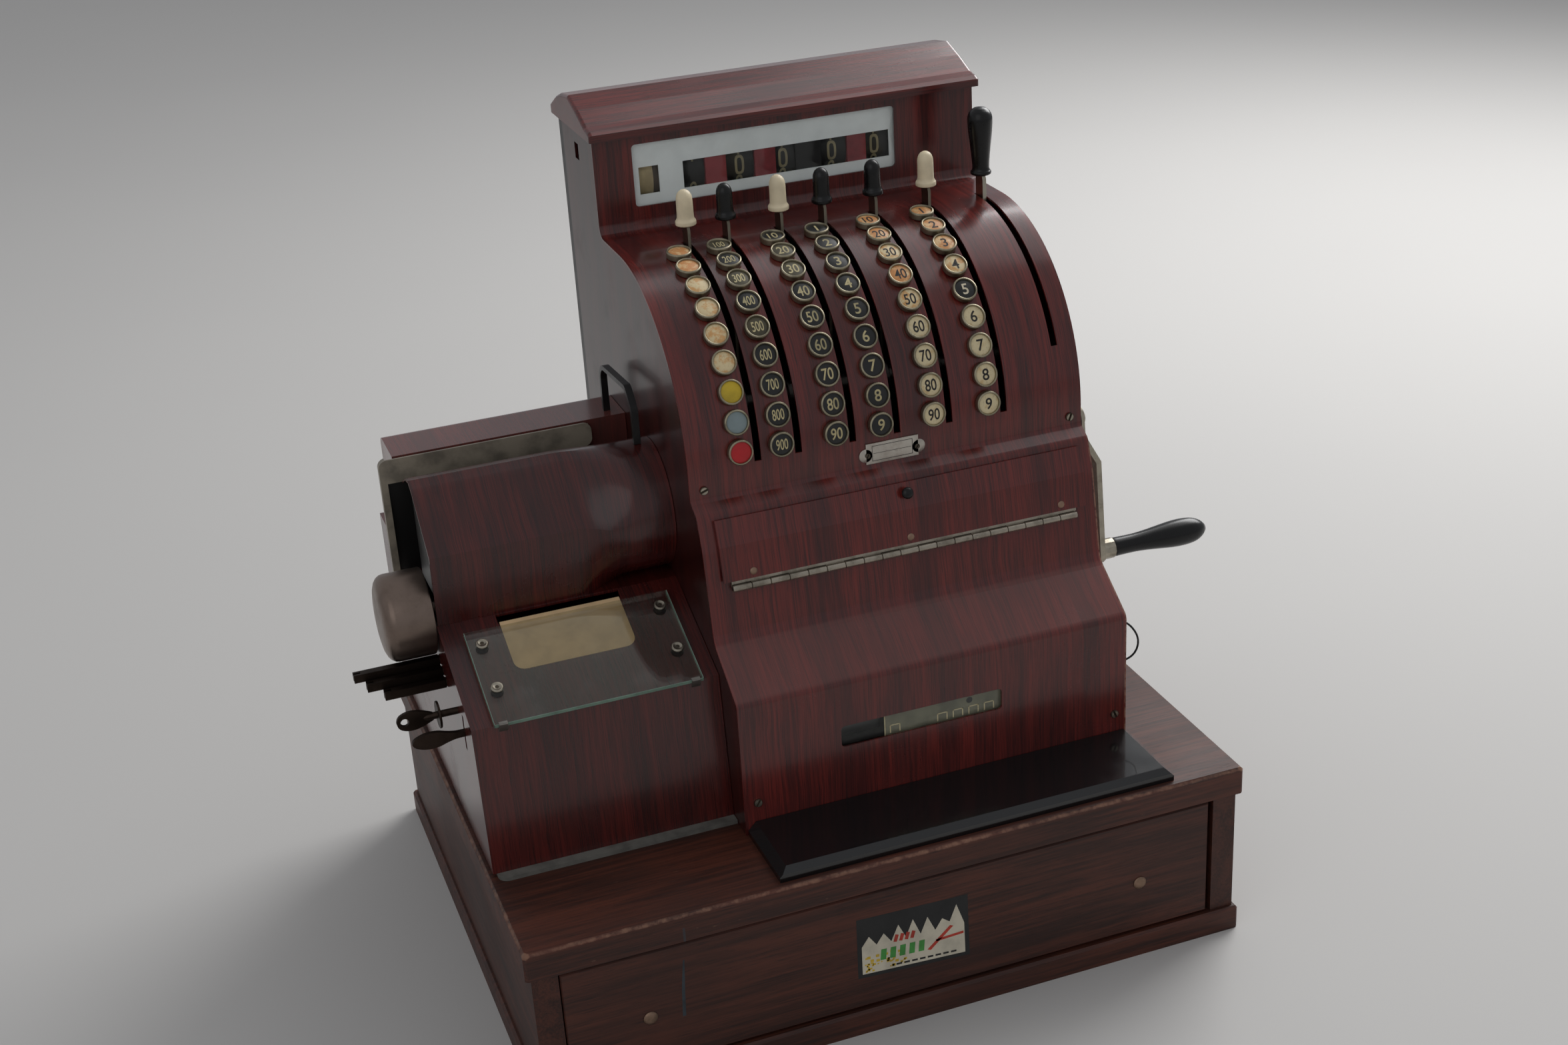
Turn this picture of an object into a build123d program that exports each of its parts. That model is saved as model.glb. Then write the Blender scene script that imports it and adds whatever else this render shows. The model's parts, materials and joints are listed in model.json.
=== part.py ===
from build123d import *
import math
import os

# A lever-set mechanical cash register on a wooden drawer cabinet, in millimetres.
# X runs to the operator's right, Y to the back and Z up.  The origin is the centre of the
# cabinet's underside.  Most sizes are given in the deck frame: y is the distance back from
# the cabinet's front edge and z the height above its top board.

# ---- Clearances -------------------------------------------------------------------------
seat_gap = 0.3  # between loose pieces that rest on each other
run_gap = 0.05  # radial, between a shaft and its bore
through = 600.0  # a cut that goes right through
few_sides = 8  # of small or hidden round pieces, which stay many-sided here
some_sides = 12
many_sides = 20

# ---- Wooden cabinet ---------------------------------------------------------------------
base_width = 528.0
base_depth = 429.0
base_height = 137.0
top_board_thickness = 21.0
bottom_board_thickness = 18.5
board_overhang = 4.0  # of the top board past the body, at the front and the sides
bottom_board_inset = 0.5
side_board_thickness = 18.0
back_board_thickness = 16.0
board_edge_bevel = 2.0

FRONT = -base_depth / 2
DECK = base_height
body_half = base_width / 2 - board_overhang
cabinet_floor = bottom_board_thickness - base_height
cabinet_ceiling = -top_board_thickness

# ---- Cash drawer ------------------------------------------------------------------------
drawer_left_gap = 1.0
drawer_right_gap = 3.5
drawer_top_gap = 4.0
drawer_bottom_gap = 1.5
drawer_front_thickness = 18.0
drawer_wall = 9.0
drawer_bottom_thickness = 6.0
drawer_box_height = 72.0
drawer_back_room = 35.0  # from the drawer to the back board
drawer_side_room = 3.0  # between the drawer's sides and the cabinet's
runner_width = 16.0
runner_height = 4.5
divider_thickness = 5.0
divider_height = 46.0
coin_row_depth = 120.0
coin_bays = 5
note_bays = 4
stud_radius = 5.0
stud_height = 2.0
stud_spread = 183.5
stud_level = -77.0

# ---- Plates on the deck -----------------------------------------------------------------
plate_thickness = 3.0
printer_plate_left = -257.0
printer_plate_front = 87.4
printer_plate_back = 402.0
printer_plate_corner = 7.0
slab_left = -85.5
slab_right = 211.0
slab_front = 6.5
slab_height = 10.0
slab_front_chamfer = 4.0
slab_side_chamfer = 6.0

# ---- Main case --------------------------------------------------------------------------
case_left = -87.0
case_right = 207.0
case_back = 395.0
case_front_y = 70.0
sheet = 1.5
wall = 2.0
fold_height = 102.3
slope_back = 110.0
slope_top = 130.3
flap_bend_y = 121.6
flap_bend_z = 196.0
ledge_front = 129.5
ledge_low = 217.5
ledge_high = 224.0
fold_radius = 7.0
slope_radius = 14.0
bend_radius = 40.0
ledge_radius = 6.0
ledge_root_radius = 4.0
drum_y = 265.5
drum_z = 237.5
drum_radius = 125.5
tower_front = 314.4
shelf_radius = 8.0
back_cover_depth = 17.0
back_cover_inset = 1.0
back_cover_radius = 5.0
back_cover_top = 431.0
wall_slot_ys = (353.0, 363.0)
wall_slot_zs = (410.0, 422.0)

# ---- Top hood ---------------------------------------------------------------------------
hood_side_overhang = 3.0
hood_skin = 2.2
hood_lip_y = 307.0
hood_lip_z = 433.0
hood_back_y = 413.9
hood_nose = [(hood_lip_y, 438.5), (311.0, 440.4)]
hood_crest = [
    (tower_front, 441.0),
    (320.0, 442.0),
    (340.0, 450.0),
    (360.0, 456.6),
    (382.0, 453.5),
    (case_back, 449.0),
]
hood_tail_z = 439.5
hood_end_radius = 2.5

# ---- Levers and number discs ------------------------------------------------------------
disc_columns = [-49.7, -20.2, 19.6, 52.7, 92.1, 133.8]
slot_offset = 12.75  # from a column of discs to the slot on its right
disc_rows = 9
first_disc_angle = 81.1  # degrees above the horizontal, seen from the lever shaft
disc_pitch = 9.17
disc_radius = 9.0
disc_height = 5.2
disc_seat = 0.02  # from the drum cover to the discs
slot_width = 5.0
slot_end_angle = 3.5
lever_rest_angle = 90.0
lever_shaft_radius = 6.0
lever_hub_radius = 11.0
lever_hub_length = 8.0
lever_stem_thickness = 2.2
lever_stem_depth = 12.0
lever_knob_foot = 139.9  # from the lever shaft's axis
lever_knob_length = 25.6
lever_knob_radius = 6.0
lever_knob_flange = 7.5
lever_knob_flange_height = 5.0
lever_knob_flange_rim = 3.0
lever_tang_depth = 5.0
lever_tang_length = 12.0
main_lever_x = 190.5
main_lever_slot_end = 21.6
main_lever_stem_thickness = 3.0
main_handle_foot = 141.8
main_handle_length = 50.0
main_handle_low_radius = 6.9
main_handle_high_radius = 9.2
main_handle_flange = 7.6

# ---- Indicator --------------------------------------------------------------------------
window_left = -58.3
window_right = 143.6
window_low = 380.5
window_high = 426.0
window_corner = 3.0
glass_thickness = 2.0
mask_thickness = 1.0
mask_border = 4.0
mask_slot_low = 388.0
mask_slot_high = 408.0
symbol_slot = (-53.3, -38.4)
number_slot = (-20.1, 140.3)
indicator_axis_y = 344.0
indicator_axis_z = 398.0
indicator_shaft_radius = 5.0
indicator_wheel_radius = 24.0
indicator_wheel_edges = [
    (-54.5, -37.5),
    (-20.3, -3.2),
    (13.3, 34.8),
    (51.5, 66.5),
    (87.0, 107.2),
    (122.6, 140.5),
]
divider_depth = 16.0
divider_margin = 2.0  # past the number slot, above and below

# ---- Counter window in the lower panel --------------------------------------------------
counter_left = -13.5
counter_right = 108.5
counter_low = 51.5
counter_high = 67.8
counter_corner = 3.0
counter_plate_left = 20.0
counter_axis_y = 91.0
counter_axis_z = 59.6
counter_wheel_radius = 11.0
counter_shaft_radius = 3.0
counter_drum_length = 38.0
counter_drum_gap = 1.0
counter_hole_x = 85.0
counter_hole_z = 62.5
counter_hole_radius = 2.3

# ---- Flap over the totals ---------------------------------------------------------------
flap_left = -76.0
flap_right = 198.0
flap_sheet = 1.5
flap_stand_off = 2.3  # from the case's front to the flap's back
hinge_y = 113.5
hinge_z = 167.4
hinge_left = -70.0
hinge_right = 190.0
hinge_knuckles = 19
hinge_radius = 2.6
hinge_pin_radius = 1.2
hinge_leaf = 0.8
hinge_leaf_height = 9.0
flap_foot_z = 172.0
flap_top_z = 213.5
flap_knob_x = 62.0
flap_knob_z = 206.5
flap_knob_radius = 4.2
flap_knob_height = 7.5
flap_screw_xs = [-54.0, 62.0, 178.0]
flap_screw_z = 176.6
flap_screw_radius = 2.6

# ---- Nameplate and screws ---------------------------------------------------------------
plate_left = 41.0
plate_right = 80.5
plate_low = 226.2
plate_high = 241.6
plate_sheet = 1.0
ear_z = 233.0
ear_radius = 5.0
plate_screw_inset = 1.2
plate_screw_radius = 1.6
cover_screw_radius = 3.0
cover_screw_height = 1.6
cover_screw_xs = [-77.0, 197.7]
cover_screw_low = 24.3
cover_screw_high = 231.5

# ---- Crank ------------------------------------------------------------------------------
crank_y = 157.0
crank_z = 222.0
crank_shaft_radius = 7.0
crank_shaft_inner = 150.0
crank_gear_radius = 13.0
crank_gear_x = 168.0
crank_gear_width = 6.0
crank_boss_radius = 13.0
crank_boss_width = 3.0
crank_tilt = 6.0  # degrees forward of straight down
crank_throw = 105.6
crank_arm_thickness = 4.0
crank_arm_half_width = 9.0
crank_hub_x = case_right + crank_boss_width + seat_gap
crank_arm_x = 222.0
crank_bend_start = 12.0
crank_bend_end = 34.0
ferrule_length = 10.0
ferrule_radius = 7.6
handle_length = 78.0
handle_spindle_radius = 3.0
handle_neck_radius = 7.0
handle_belly_radius = 10.2
handle_tip_radius = 2.2

# ---- Printer ----------------------------------------------------------------------------
printer_left = -260.0
printer_right = case_left - seat_gap
printer_foot_y = 95.0
printer_fold_y = 105.3
printer_fold_z = 109.5
printer_slope_back = 191.6
printer_slope_top = 146.6
printer_back = 400.0
paper_slot_x = (-219.0, -131.0)
paper_slot_y = (183.5, 191.0)
hood_face_y = 189.2
hood_fold_z = 199.0
hood_brow_y = 228.6
hood_brow_z = 233.8
hood_top_y = 237.3
hood_top_z = 238.0
hood_foot_lean = 2.8
hood_bow = 0.3  # of its flat faces, which are not quite flat
hood_rear_bend = (249.5, 235.0)
hood_rear_edge = (262.0, 228.5)
hood_end_inset = 1.0
hood_end_plate = 5.0  # from the hood's left edge to its end plate
hood_blend_left = -152.0  # where the folds begin to die into the round cheek
cheek_left = -112.0
cheek_angles = [-35, 0, 22.5, 45, 67.5, 90, 115, 141]  # of its corners, from -Y towards +Z
well_margin = 5.0
cheek_y = 226.0
cheek_z = 192.0
cheek_radius = 46.5
glass_left = -245.0
glass_right = -99.5
glass_low = -3.6  # along the slope, from its lower fold
glass_high = 78.7
glass_lift = 2.4
pane_thickness = 3.0
glass_screw_xs = [-235.2, -108.2]
glass_screw_rows = [27.0, 66.4]
glass_screw_radius = 4.4
glass_hole_radius = 2.4
paper_x = (-218.0, -132.0)
paper_low = 41.3
paper_corner = 3.0
paper_thickness = 0.4
paper_tuck = 1.0  # into its slot

# ---- Paper box and its frame ------------------------------------------------------------
box_front = 290.3
box_back = 336.0
box_top = 236.0
frame_left = -271.0
frame_right = -115.0
frame_front = 285.0
frame_lip_low = 218.0
frame_strip = 5.0
frame_band = 1.4
frame_groove_floor = 222.0
frame_corner = 6.0
roll_y = 313.0
roll_z = 188.0
roll_radius = 19.0
roll_spindle_radius = 3.0
bail_x = -98.0
bail_front_y = 224.0
bail_back_y = 302.0
bail_high_front = 277.0
bail_high_back = 272.0
bail_width = 5.0
bail_thickness = 3.5
bail_bend = 12.0

# ---- Controls on the printer's left wall ------------------------------------------------
feed_drum_y = 215.0
feed_drum_z = 149.0
feed_drum_radius = 31.0
feed_drum_length = 35.0
feed_drum_skin = 2.0
feed_drum_gap = 1.0  # to the printer's wall
feed_drum_edge = 8.0
drum_sides = 28
feed_shaft_radius = 5.0
feed_shaft_length = 20.0
date_spindles = [(200.0, 117.0, 60.0), (191.5, 112.5, 53.0), (183.0, 108.0, 43.0)]
date_square = 6.0
date_journal_radius = 3.3
date_journal_length = 14.0
key_y = 150.0
key_z = 102.5
key_shank_radius = 2.5
key_boss_radius = 9.5
key_boss_x = -274.0
key_boss_width = 1.6
key_bow_thickness = 2.5
key_bow = [(-302.0, 1.6), (-300.0, 4.8), (-296.0, 6.7), (-290.0, 7.0), (-284.0, 5.6), (-277.0, 2.6)]
key_hole_x = -296.5
key_hole_radius = 2.8
rocker_y = 133.0
rocker_z = 94.0
rocker_pivot_x = -232.0
rocker_leaf = [(-296.0, 0.8), (-292.0, 3.6), (-285.0, 5.8), (-278.0, 5.6), (-271.0, 3.4), (-266.0, 2.4)]
rocker_thickness = 3.0
rocker_height = 8.0
rocker_slot_height = 26.0
rocker_slot_width = 4.5
rocker_pin_radius = 3.0

# ---- Cord loop on the right wall --------------------------------------------------------
cord_radius = 0.75
cord_sides = 8
cord_points = [
    (case_right, 94.0, 87.0),
    (212.5, 94.0, 87.0),
    (222.5, 92.0, 81.0),
    (229.0, 90.5, 68.5),
    (226.0, 90.5, 57.0),
    (216.5, 92.5, 51.5),
    (case_right, 92.5, 51.5),
]


# ---- Planes and small helpers -----------------------------------------------------------
def side_plane(x):
    """Faces +X at x; local x is the deck frame's y and local y its z."""
    return Plane(origin=(x, FRONT, DECK), x_dir=(0, 1, 0), z_dir=(1, 0, 0))


def front_plane(y):
    """Faces the operator at y; local x is X and local y the deck frame's z."""
    return Plane(origin=(0, FRONT + y, DECK), x_dir=(1, 0, 0), z_dir=(0, -1, 0))


def level(z):
    """Faces up at z; local x is X and local y the deck frame's y."""
    return Plane(origin=(0, FRONT, DECK + z), x_dir=(1, 0, 0), z_dir=(0, 0, 1))


def tilted(y, z, lean):
    """Faces the operator and up, leaning back by some degrees; origin at (0, y, z)."""
    a = math.radians(lean)
    normal = (0, -math.cos(a), math.sin(a))
    return Plane(origin=(0, FRONT + y, DECK + z), x_dir=(1, 0, 0), z_dir=normal)


def block(xs, ys, zs, mode=Mode.ADD):
    """A block between two values each of X, y and z."""
    with BuildSketch(level(zs[0])) as outline:
        with Locations(((xs[0] + xs[1]) / 2, (ys[0] + ys[1]) / 2)):
            Rectangle(xs[1] - xs[0], ys[1] - ys[0])
    extrude(outline.sketch, amount=zs[1] - zs[0], mode=mode)


def rod(plane, centre, radius, length, mode=Mode.ADD):
    """A round bar that starts on the plane and runs along its normal."""
    with BuildSketch(plane) as outline:
        with Locations(centre):
            Circle(radius)
    extrude(outline.sketch, amount=length, mode=mode)


def prism(plane, centre, radius, length, sides, mode=Mode.ADD):
    """A many-sided bar that starts on the plane and runs along its normal."""
    with BuildSketch(plane) as outline:
        with Locations(centre):
            RegularPolygon(radius, sides)
    extrude(outline.sketch, amount=length, mode=mode)


def bore_out(plane, centre, shaft_radius, length, sides):
    """A many-sided hole, on whose flats a round shaft runs."""
    radius = (shaft_radius + run_gap) / math.cos(math.pi / sides)
    prism(plane, centre, radius, length, sides, mode=Mode.SUBTRACT)


def faceted(rings):
    """A solid of flat faces between closed rings of points, each as many as the last."""
    faces = [Face(Wire.make_polygon(rings[0])), Face(Wire.make_polygon(rings[-1]))]
    for near, far in zip(rings, rings[1:]):
        for i in range(len(near)):
            faces.append(Face(Wire.make_polygon([near[i - 1], near[i], far[i]])))
            faces.append(Face(Wire.make_polygon([near[i - 1], far[i], far[i - 1]])))
    add(Solid(Shell(faces)))


def turned(plane, centre, profile, sides):
    """A turned piece with flat sides; its profile lists distances along it and radii."""
    rings = []
    for distance, radius in profile:
        turns = [2 * math.pi * side / sides for side in range(sides)]
        ring = [(centre[0] + radius * math.cos(a), centre[1] + radius * math.sin(a)) for a in turns]
        rings.append([plane.from_local_coords((u, v, distance)) for u, v in ring])
    faceted(rings)


def panel(plane, points, thickness, mode=Mode.ADD):
    """A flat piece with a straight-edged outline on the plane."""
    with BuildSketch(plane) as outline:
        with BuildLine():
            Polyline(*points, close=True)
        make_face()
    extrude(outline.sketch, amount=thickness, mode=mode)


def rounded_panel(plane, xs, ys, radius, thickness, mode=Mode.ADD):
    """A rectangular piece with round corners on the plane."""
    with BuildSketch(plane) as outline:
        with Locations(((xs[0] + xs[1]) / 2, (ys[0] + ys[1]) / 2)):
            RectangleRounded(xs[1] - xs[0], ys[1] - ys[0], radius)
    extrude(outline.sketch, amount=thickness, mode=mode)


def bowed(first, last, share):
    """A point some share of the way from one to the other, a little in front of their line."""
    y = first[0] + share * (last[0] - first[0])
    z = first[1] + share * (last[1] - first[1])
    return (y - hood_bow, z)


def polar(radius, angle):
    """A point on the side plane, seen from the lever shaft; the angle rises from -Y to +Z."""
    a = math.radians(angle)
    return (drum_y - radius * math.cos(a), drum_z + radius * math.sin(a))


def save(builder, name):
    """Labels the finished piece and writes its file."""
    builder.part.label = name
    export_step(builder.part, f"parts/{name}.step")


def save_group(builders, name):
    """Writes several solids that stay separate to one file."""
    group = Compound(label=name, children=[builder.part for builder in builders])
    export_step(group, f"parts/{name}.step")


os.makedirs("parts", exist_ok=True)

# ---- Cabinet boards ---------------------------------------------------------------------
with BuildPart() as base_top_board:
    block((-base_width / 2, base_width / 2), (0, base_depth), (cabinet_ceiling, 0))
    upper_edges = base_top_board.faces().sort_by(Axis.Z)[-1].edges()
    chamfer(base_top_board.edges().filter_by(Axis.Z) + upper_edges, board_edge_bevel)
save(base_top_board, "base_top_board")

bottom_half = base_width / 2 - bottom_board_inset
with BuildPart() as base_bottom_board:
    block((-bottom_half, bottom_half), (0, base_depth), (-base_height, cabinet_floor))
    upper_edges = base_bottom_board.faces().sort_by(Axis.Z)[-1].edges()
    chamfer(base_bottom_board.edges().filter_by(Axis.Z) + upper_edges, board_edge_bevel)
save(base_bottom_board, "base_bottom_board")

body_back = base_depth - board_overhang
cavity_half = body_half - side_board_thickness
runner_back = body_back - back_board_thickness
drawer_back_y = runner_back - drawer_back_room
side_ys = (board_overhang, body_back)
with BuildPart() as base_sides:
    for side in (-1, 1):
        inner = side * cavity_half
        outer = side * body_half
        block(sorted((inner, outer)), side_ys, (cabinet_floor, cabinet_ceiling))

with BuildPart() as base_back:
    block(
        (-cavity_half, cavity_half),
        (body_back - back_board_thickness, body_back),
        (cabinet_floor, cabinet_ceiling),
    )

with BuildPart() as drawer_runners:
    for side in (-1, 1):
        inner = side * (cavity_half - runner_width)
        outer = side * cavity_half
        block(
            sorted((inner, outer)),
            (board_overhang + drawer_front_thickness + seat_gap, runner_back),
            (cabinet_floor, cabinet_floor + runner_height),
        )
save_group([base_sides, base_back, drawer_runners], "base_walls")

# ---- Cash drawer ------------------------------------------------------------------------
drawer_left = -cavity_half + drawer_left_gap
drawer_right = cavity_half - drawer_right_gap
with BuildPart() as drawer_front:
    block(
        (drawer_left, drawer_right),
        (board_overhang, board_overhang + drawer_front_thickness),
        (cabinet_floor + drawer_bottom_gap, cabinet_ceiling - drawer_top_gap),
    )
    chamfer(drawer_front.faces().sort_by(Axis.Y)[0].edges(), board_edge_bevel / 2)
save(drawer_front, "drawer_front")

box_half = cavity_half - drawer_side_room - drawer_wall
box_low = cabinet_floor + runner_height + seat_gap
box_high = box_low + drawer_box_height
box_start = board_overhang + drawer_front_thickness
box_end = drawer_back_y - drawer_wall
tray_floor = box_low + drawer_bottom_thickness
divider_top = tray_floor + divider_height
row_wall_y = box_start + coin_row_depth
row_start = row_wall_y + divider_thickness


def board(xs, ys, zs):
    """One board of the drawer's box."""
    with BuildPart() as piece:
        block(xs, ys, zs)
    return piece


def bay_boards(bays, ys):
    """The upright boards that part one row of the drawer into bays."""
    centres = [-box_half + bay * 2 * box_half / bays for bay in range(1, bays)]
    half = divider_thickness / 2
    return [board((x - half, x + half), ys, (tray_floor, divider_top)) for x in centres]


box_outer = box_half + drawer_wall
box_ys = (box_start, drawer_back_y)
box_zs = (box_low, box_high)
tray_boards = [
    board((-box_half, box_half), (box_start, box_end), (box_low, tray_floor)),
    board((-box_half, box_half), (box_end, drawer_back_y), box_zs),
    board((-box_outer, -box_half), box_ys, box_zs),
    board((box_half, box_outer), box_ys, box_zs),
    board((-box_half, box_half), (row_wall_y, row_start), (tray_floor, divider_top)),
]
tray_boards += bay_boards(coin_bays, (box_start, row_wall_y))
tray_boards += bay_boards(note_bays, (row_start, box_end))
save_group(tray_boards, "drawer_tray")

with BuildPart() as drawer_studs:
    for x in (-stud_spread, stud_spread):
        prism(front_plane(board_overhang), (x, stud_level), stud_radius, stud_height, many_sides)
save(drawer_studs, "drawer_studs")

# ---- Plates on the deck -----------------------------------------------------------------
with BuildPart() as printer_base_plate:
    plate_ys = (printer_plate_front, printer_plate_back)
    block((printer_plate_left, case_left - seat_gap), plate_ys, (0, plate_thickness))
    left_corners = printer_base_plate.edges().filter_by(Axis.Z).group_by(Axis.X)[0]
    fillet(left_corners, printer_plate_corner)
save(printer_base_plate, "printer_base_plate")

with BuildPart() as front_slab:
    block((slab_left, slab_right), (slab_front, case_front_y - seat_gap), (0, slab_height))
    top_face = front_slab.faces().sort_by(Axis.Z)[-1]
    chamfer(top_face.edges().filter_by(Axis.Y), slab_side_chamfer)
    top_face = front_slab.faces().sort_by(Axis.Z)[-1]
    chamfer(top_face.edges().filter_by(Axis.X).sort_by(Axis.Y)[0:1], slab_front_chamfer)
save(front_slab, "front_slab")

# ---- Main case --------------------------------------------------------------------------
hood_ceiling = [(y, z - hood_skin) for y, z in hood_crest]
front_bends = [fold_radius, slope_radius, bend_radius, ledge_radius, ledge_root_radius]


def case_outline(x, inset):
    """The side view of the case, from the deck up to the hood's underside, drawn in by the inset."""
    with BuildSketch(side_plane(x)) as outline:
        with BuildLine():
            FilletPolyline(
                (case_front_y, 0),
                (case_front_y, fold_height),
                (slope_back, slope_top),
                (flap_bend_y, flap_bend_z),
                (ledge_front, ledge_low),
                (drum_y - drum_radius, ledge_high),
                (drum_y - drum_radius, drum_z),
                radius=front_bends,
            )
            CenterArc((drum_y, drum_z), drum_radius, 180, -90)
            FilletPolyline(
                (drum_y, drum_z + drum_radius),
                (tower_front, drum_z + drum_radius),
                hood_ceiling[0],
                radius=[shelf_radius],
            )
            Polyline(*hood_ceiling)
            Polyline(hood_ceiling[-1], (case_back, 0), (case_front_y, 0))
        make_face()
        if inset:
            offset(amount=-inset)
    return outline.sketch


def ring_sector(x, radii, angles, width, mode=Mode.ADD):
    """A piece of a ring about the lever shaft, between two radii and two angles."""
    start, end = 180 - angles[0], 180 - angles[1]
    with BuildSketch(side_plane(x)) as sector:
        with BuildLine():
            CenterArc((drum_y, drum_z), radii[1], start, end - start)
            CenterArc((drum_y, drum_z), radii[0], start, end - start)
            for angle in angles:
                Line(polar(radii[0], angle), polar(radii[1], angle))
        make_face()
    extrude(sector.sketch, amount=width, mode=mode)


case_width = case_right - case_left
slot_xs = [x + slot_offset for x in disc_columns]
stem_half_angle = math.degrees(math.asin(lever_stem_depth / 2 / drum_radius))
slot_top_angle = lever_rest_angle + stem_half_angle + 0.5

with BuildPart() as bent_sheet:
    extrude(case_outline(case_left, 0), amount=case_width)
    extrude(case_outline(case_left, sheet), amount=case_width, mode=Mode.SUBTRACT)
    sheet_xs = (case_left, case_right)
    block(sheet_xs, (tower_front + sheet, case_back), (-sheet, through), mode=Mode.SUBTRACT)
    block(sheet_xs, (case_front_y + sheet, case_back), (-sheet, sheet), mode=Mode.SUBTRACT)

with BuildPart() as case_front:
    add(bent_sheet.part)
    slots = [(x, slot_width, slot_end_angle) for x in slot_xs]
    slots.append((main_lever_x, slot_width, main_lever_slot_end))
    for x, width, low_angle in slots:
        radii = (drum_radius - 3 * sheet, drum_radius + sheet)
        angles = (low_angle, slot_top_angle)
        ring_sector(x - width / 2, radii, angles, width, mode=Mode.SUBTRACT)
    rounded_panel(
        front_plane(tower_front + sheet),
        (window_left, window_right),
        (window_low, window_high),
        window_corner,
        2 * sheet,
        mode=Mode.SUBTRACT,
    )
    rounded_panel(
        front_plane(case_front_y + 2 * sheet),
        (counter_left, counter_right),
        (counter_low, counter_high),
        counter_corner,
        3 * sheet,
        mode=Mode.SUBTRACT,
    )
save(case_front, "case_front")

with BuildPart() as case_left_side:
    extrude(case_outline(case_left, 0), amount=wall)
    add(bent_sheet.part, mode=Mode.SUBTRACT)
    block((case_left, case_left + wall), wall_slot_ys, wall_slot_zs, mode=Mode.SUBTRACT)
save(case_left_side, "case_left_side")

crank_axis = (crank_y, crank_z)
with BuildPart() as case_right_side:
    extrude(case_outline(case_right - wall, 0), amount=wall)
    add(bent_sheet.part, mode=Mode.SUBTRACT)
    rod(side_plane(case_right), crank_axis, crank_boss_radius, crank_boss_width)
    bore = crank_shaft_radius + run_gap
    boss_length = wall + crank_boss_width
    rod(side_plane(case_right - wall), crank_axis, bore, boss_length, mode=Mode.SUBTRACT)
save(case_right_side, "case_right_side")

inner_left = case_left + wall
inner_right = case_right - wall
with BuildPart() as case_floor:
    block((inner_left, inner_right), (case_front_y + sheet, case_back), (0, plate_thickness))
save(case_floor, "case_floor")

with BuildPart() as case_back_cover:
    cover_xs = (case_left + back_cover_inset, case_right - back_cover_inset)
    block(cover_xs, (case_back, case_back + back_cover_depth), (0, back_cover_top))
    fillet(case_back_cover.faces().sort_by(Axis.Y)[-1].edges(), back_cover_radius)
    hollow_xs = (cover_xs[0] + wall, cover_xs[1] - wall)
    hollow_ys = (case_back, case_back + back_cover_depth - wall)
    block(hollow_xs, hollow_ys, (wall, back_cover_top - wall), mode=Mode.SUBTRACT)
save(case_back_cover, "case_back_cover")

# ---- Top hood ---------------------------------------------------------------------------
hood_outline = [
    (hood_lip_y, hood_lip_z),
    *hood_nose,
    *hood_crest,
    (hood_back_y, hood_tail_z),
    (hood_back_y, hood_lip_z),
]
hood_hollow = [
    (tower_front, hood_lip_z),
    *hood_ceiling,
    (hood_back_y - hood_skin, hood_tail_z - hood_skin),
    (hood_back_y - hood_skin, hood_lip_z),
]
hood_left = case_left - hood_side_overhang
hood_right = case_right + hood_side_overhang
with BuildPart() as top_hood:
    panel(side_plane(hood_left), hood_outline, hood_right - hood_left)
    ends = top_hood.faces().filter_by(Axis.X)
    crest_low = DECK + hood_lip_z + hood_skin
    end_edges = ends.edges().filter_by(lambda edge: edge.center().Z > crest_low)
    fillet(end_edges, hood_end_radius)
    hollow_width = case_width + 2 * seat_gap
    panel(side_plane(case_left - seat_gap), hood_hollow, hollow_width, mode=Mode.SUBTRACT)
save(top_hood, "top_hood")

# ---- Indicator --------------------------------------------------------------------------
pane_y = tower_front + sheet + glass_thickness
mask_y = pane_y + mask_thickness
border_xs = (window_left - mask_border, window_right + mask_border)
border_zs = (window_low - mask_border, window_high + mask_border)
with BuildPart() as window_panes:
    block(border_xs, (pane_y - glass_thickness, pane_y), border_zs)
    counter_pane_y = case_front_y + sheet + glass_thickness
    pane_xs = (counter_left - mask_border, counter_right + mask_border)
    pane_zs = (counter_low - mask_border, counter_high + mask_border)
    block(pane_xs, (case_front_y + sheet, counter_pane_y), pane_zs)
save(window_panes, "window_panes")

with BuildPart() as indicator_mask:
    block(border_xs, (pane_y, mask_y), border_zs)
    for xs in (symbol_slot, number_slot):
        block(xs, (pane_y, mask_y), (mask_slot_low, mask_slot_high), mode=Mode.SUBTRACT)
save(indicator_mask, "indicator_mask")

indicator_axis = (indicator_axis_y, indicator_axis_z)
with BuildPart() as indicator_shaft:
    rod(side_plane(inner_left), indicator_axis, indicator_shaft_radius, inner_right - inner_left)
save(indicator_shaft, "indicator_shaft")

divider_zs = (mask_slot_low - divider_margin, mask_slot_high + divider_margin)
with BuildPart() as indicator_dividers:
    for before, after in zip(indicator_wheel_edges[1:], indicator_wheel_edges[2:]):
        xs = (before[1] + seat_gap, after[0] - seat_gap)
        block(xs, (mask_y, mask_y + divider_depth), divider_zs)
save(indicator_dividers, "indicator_dividers")

for number, (low, high) in enumerate(indicator_wheel_edges, start=1):
    with BuildPart() as indicator_wheel:
        prism(side_plane(low), indicator_axis, indicator_wheel_radius, high - low, many_sides)
        bore_out(side_plane(low), indicator_axis, indicator_shaft_radius, high - low, some_sides)
    save(indicator_wheel, f"indicator_wheel_{number}")

# ---- Levers -----------------------------------------------------------------------------
lever_axis = (drum_y, drum_z)
with BuildPart() as lever_shaft:
    rod(side_plane(inner_left), lever_axis, lever_shaft_radius, inner_right - inner_left)
save(lever_shaft, "lever_shaft")


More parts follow.
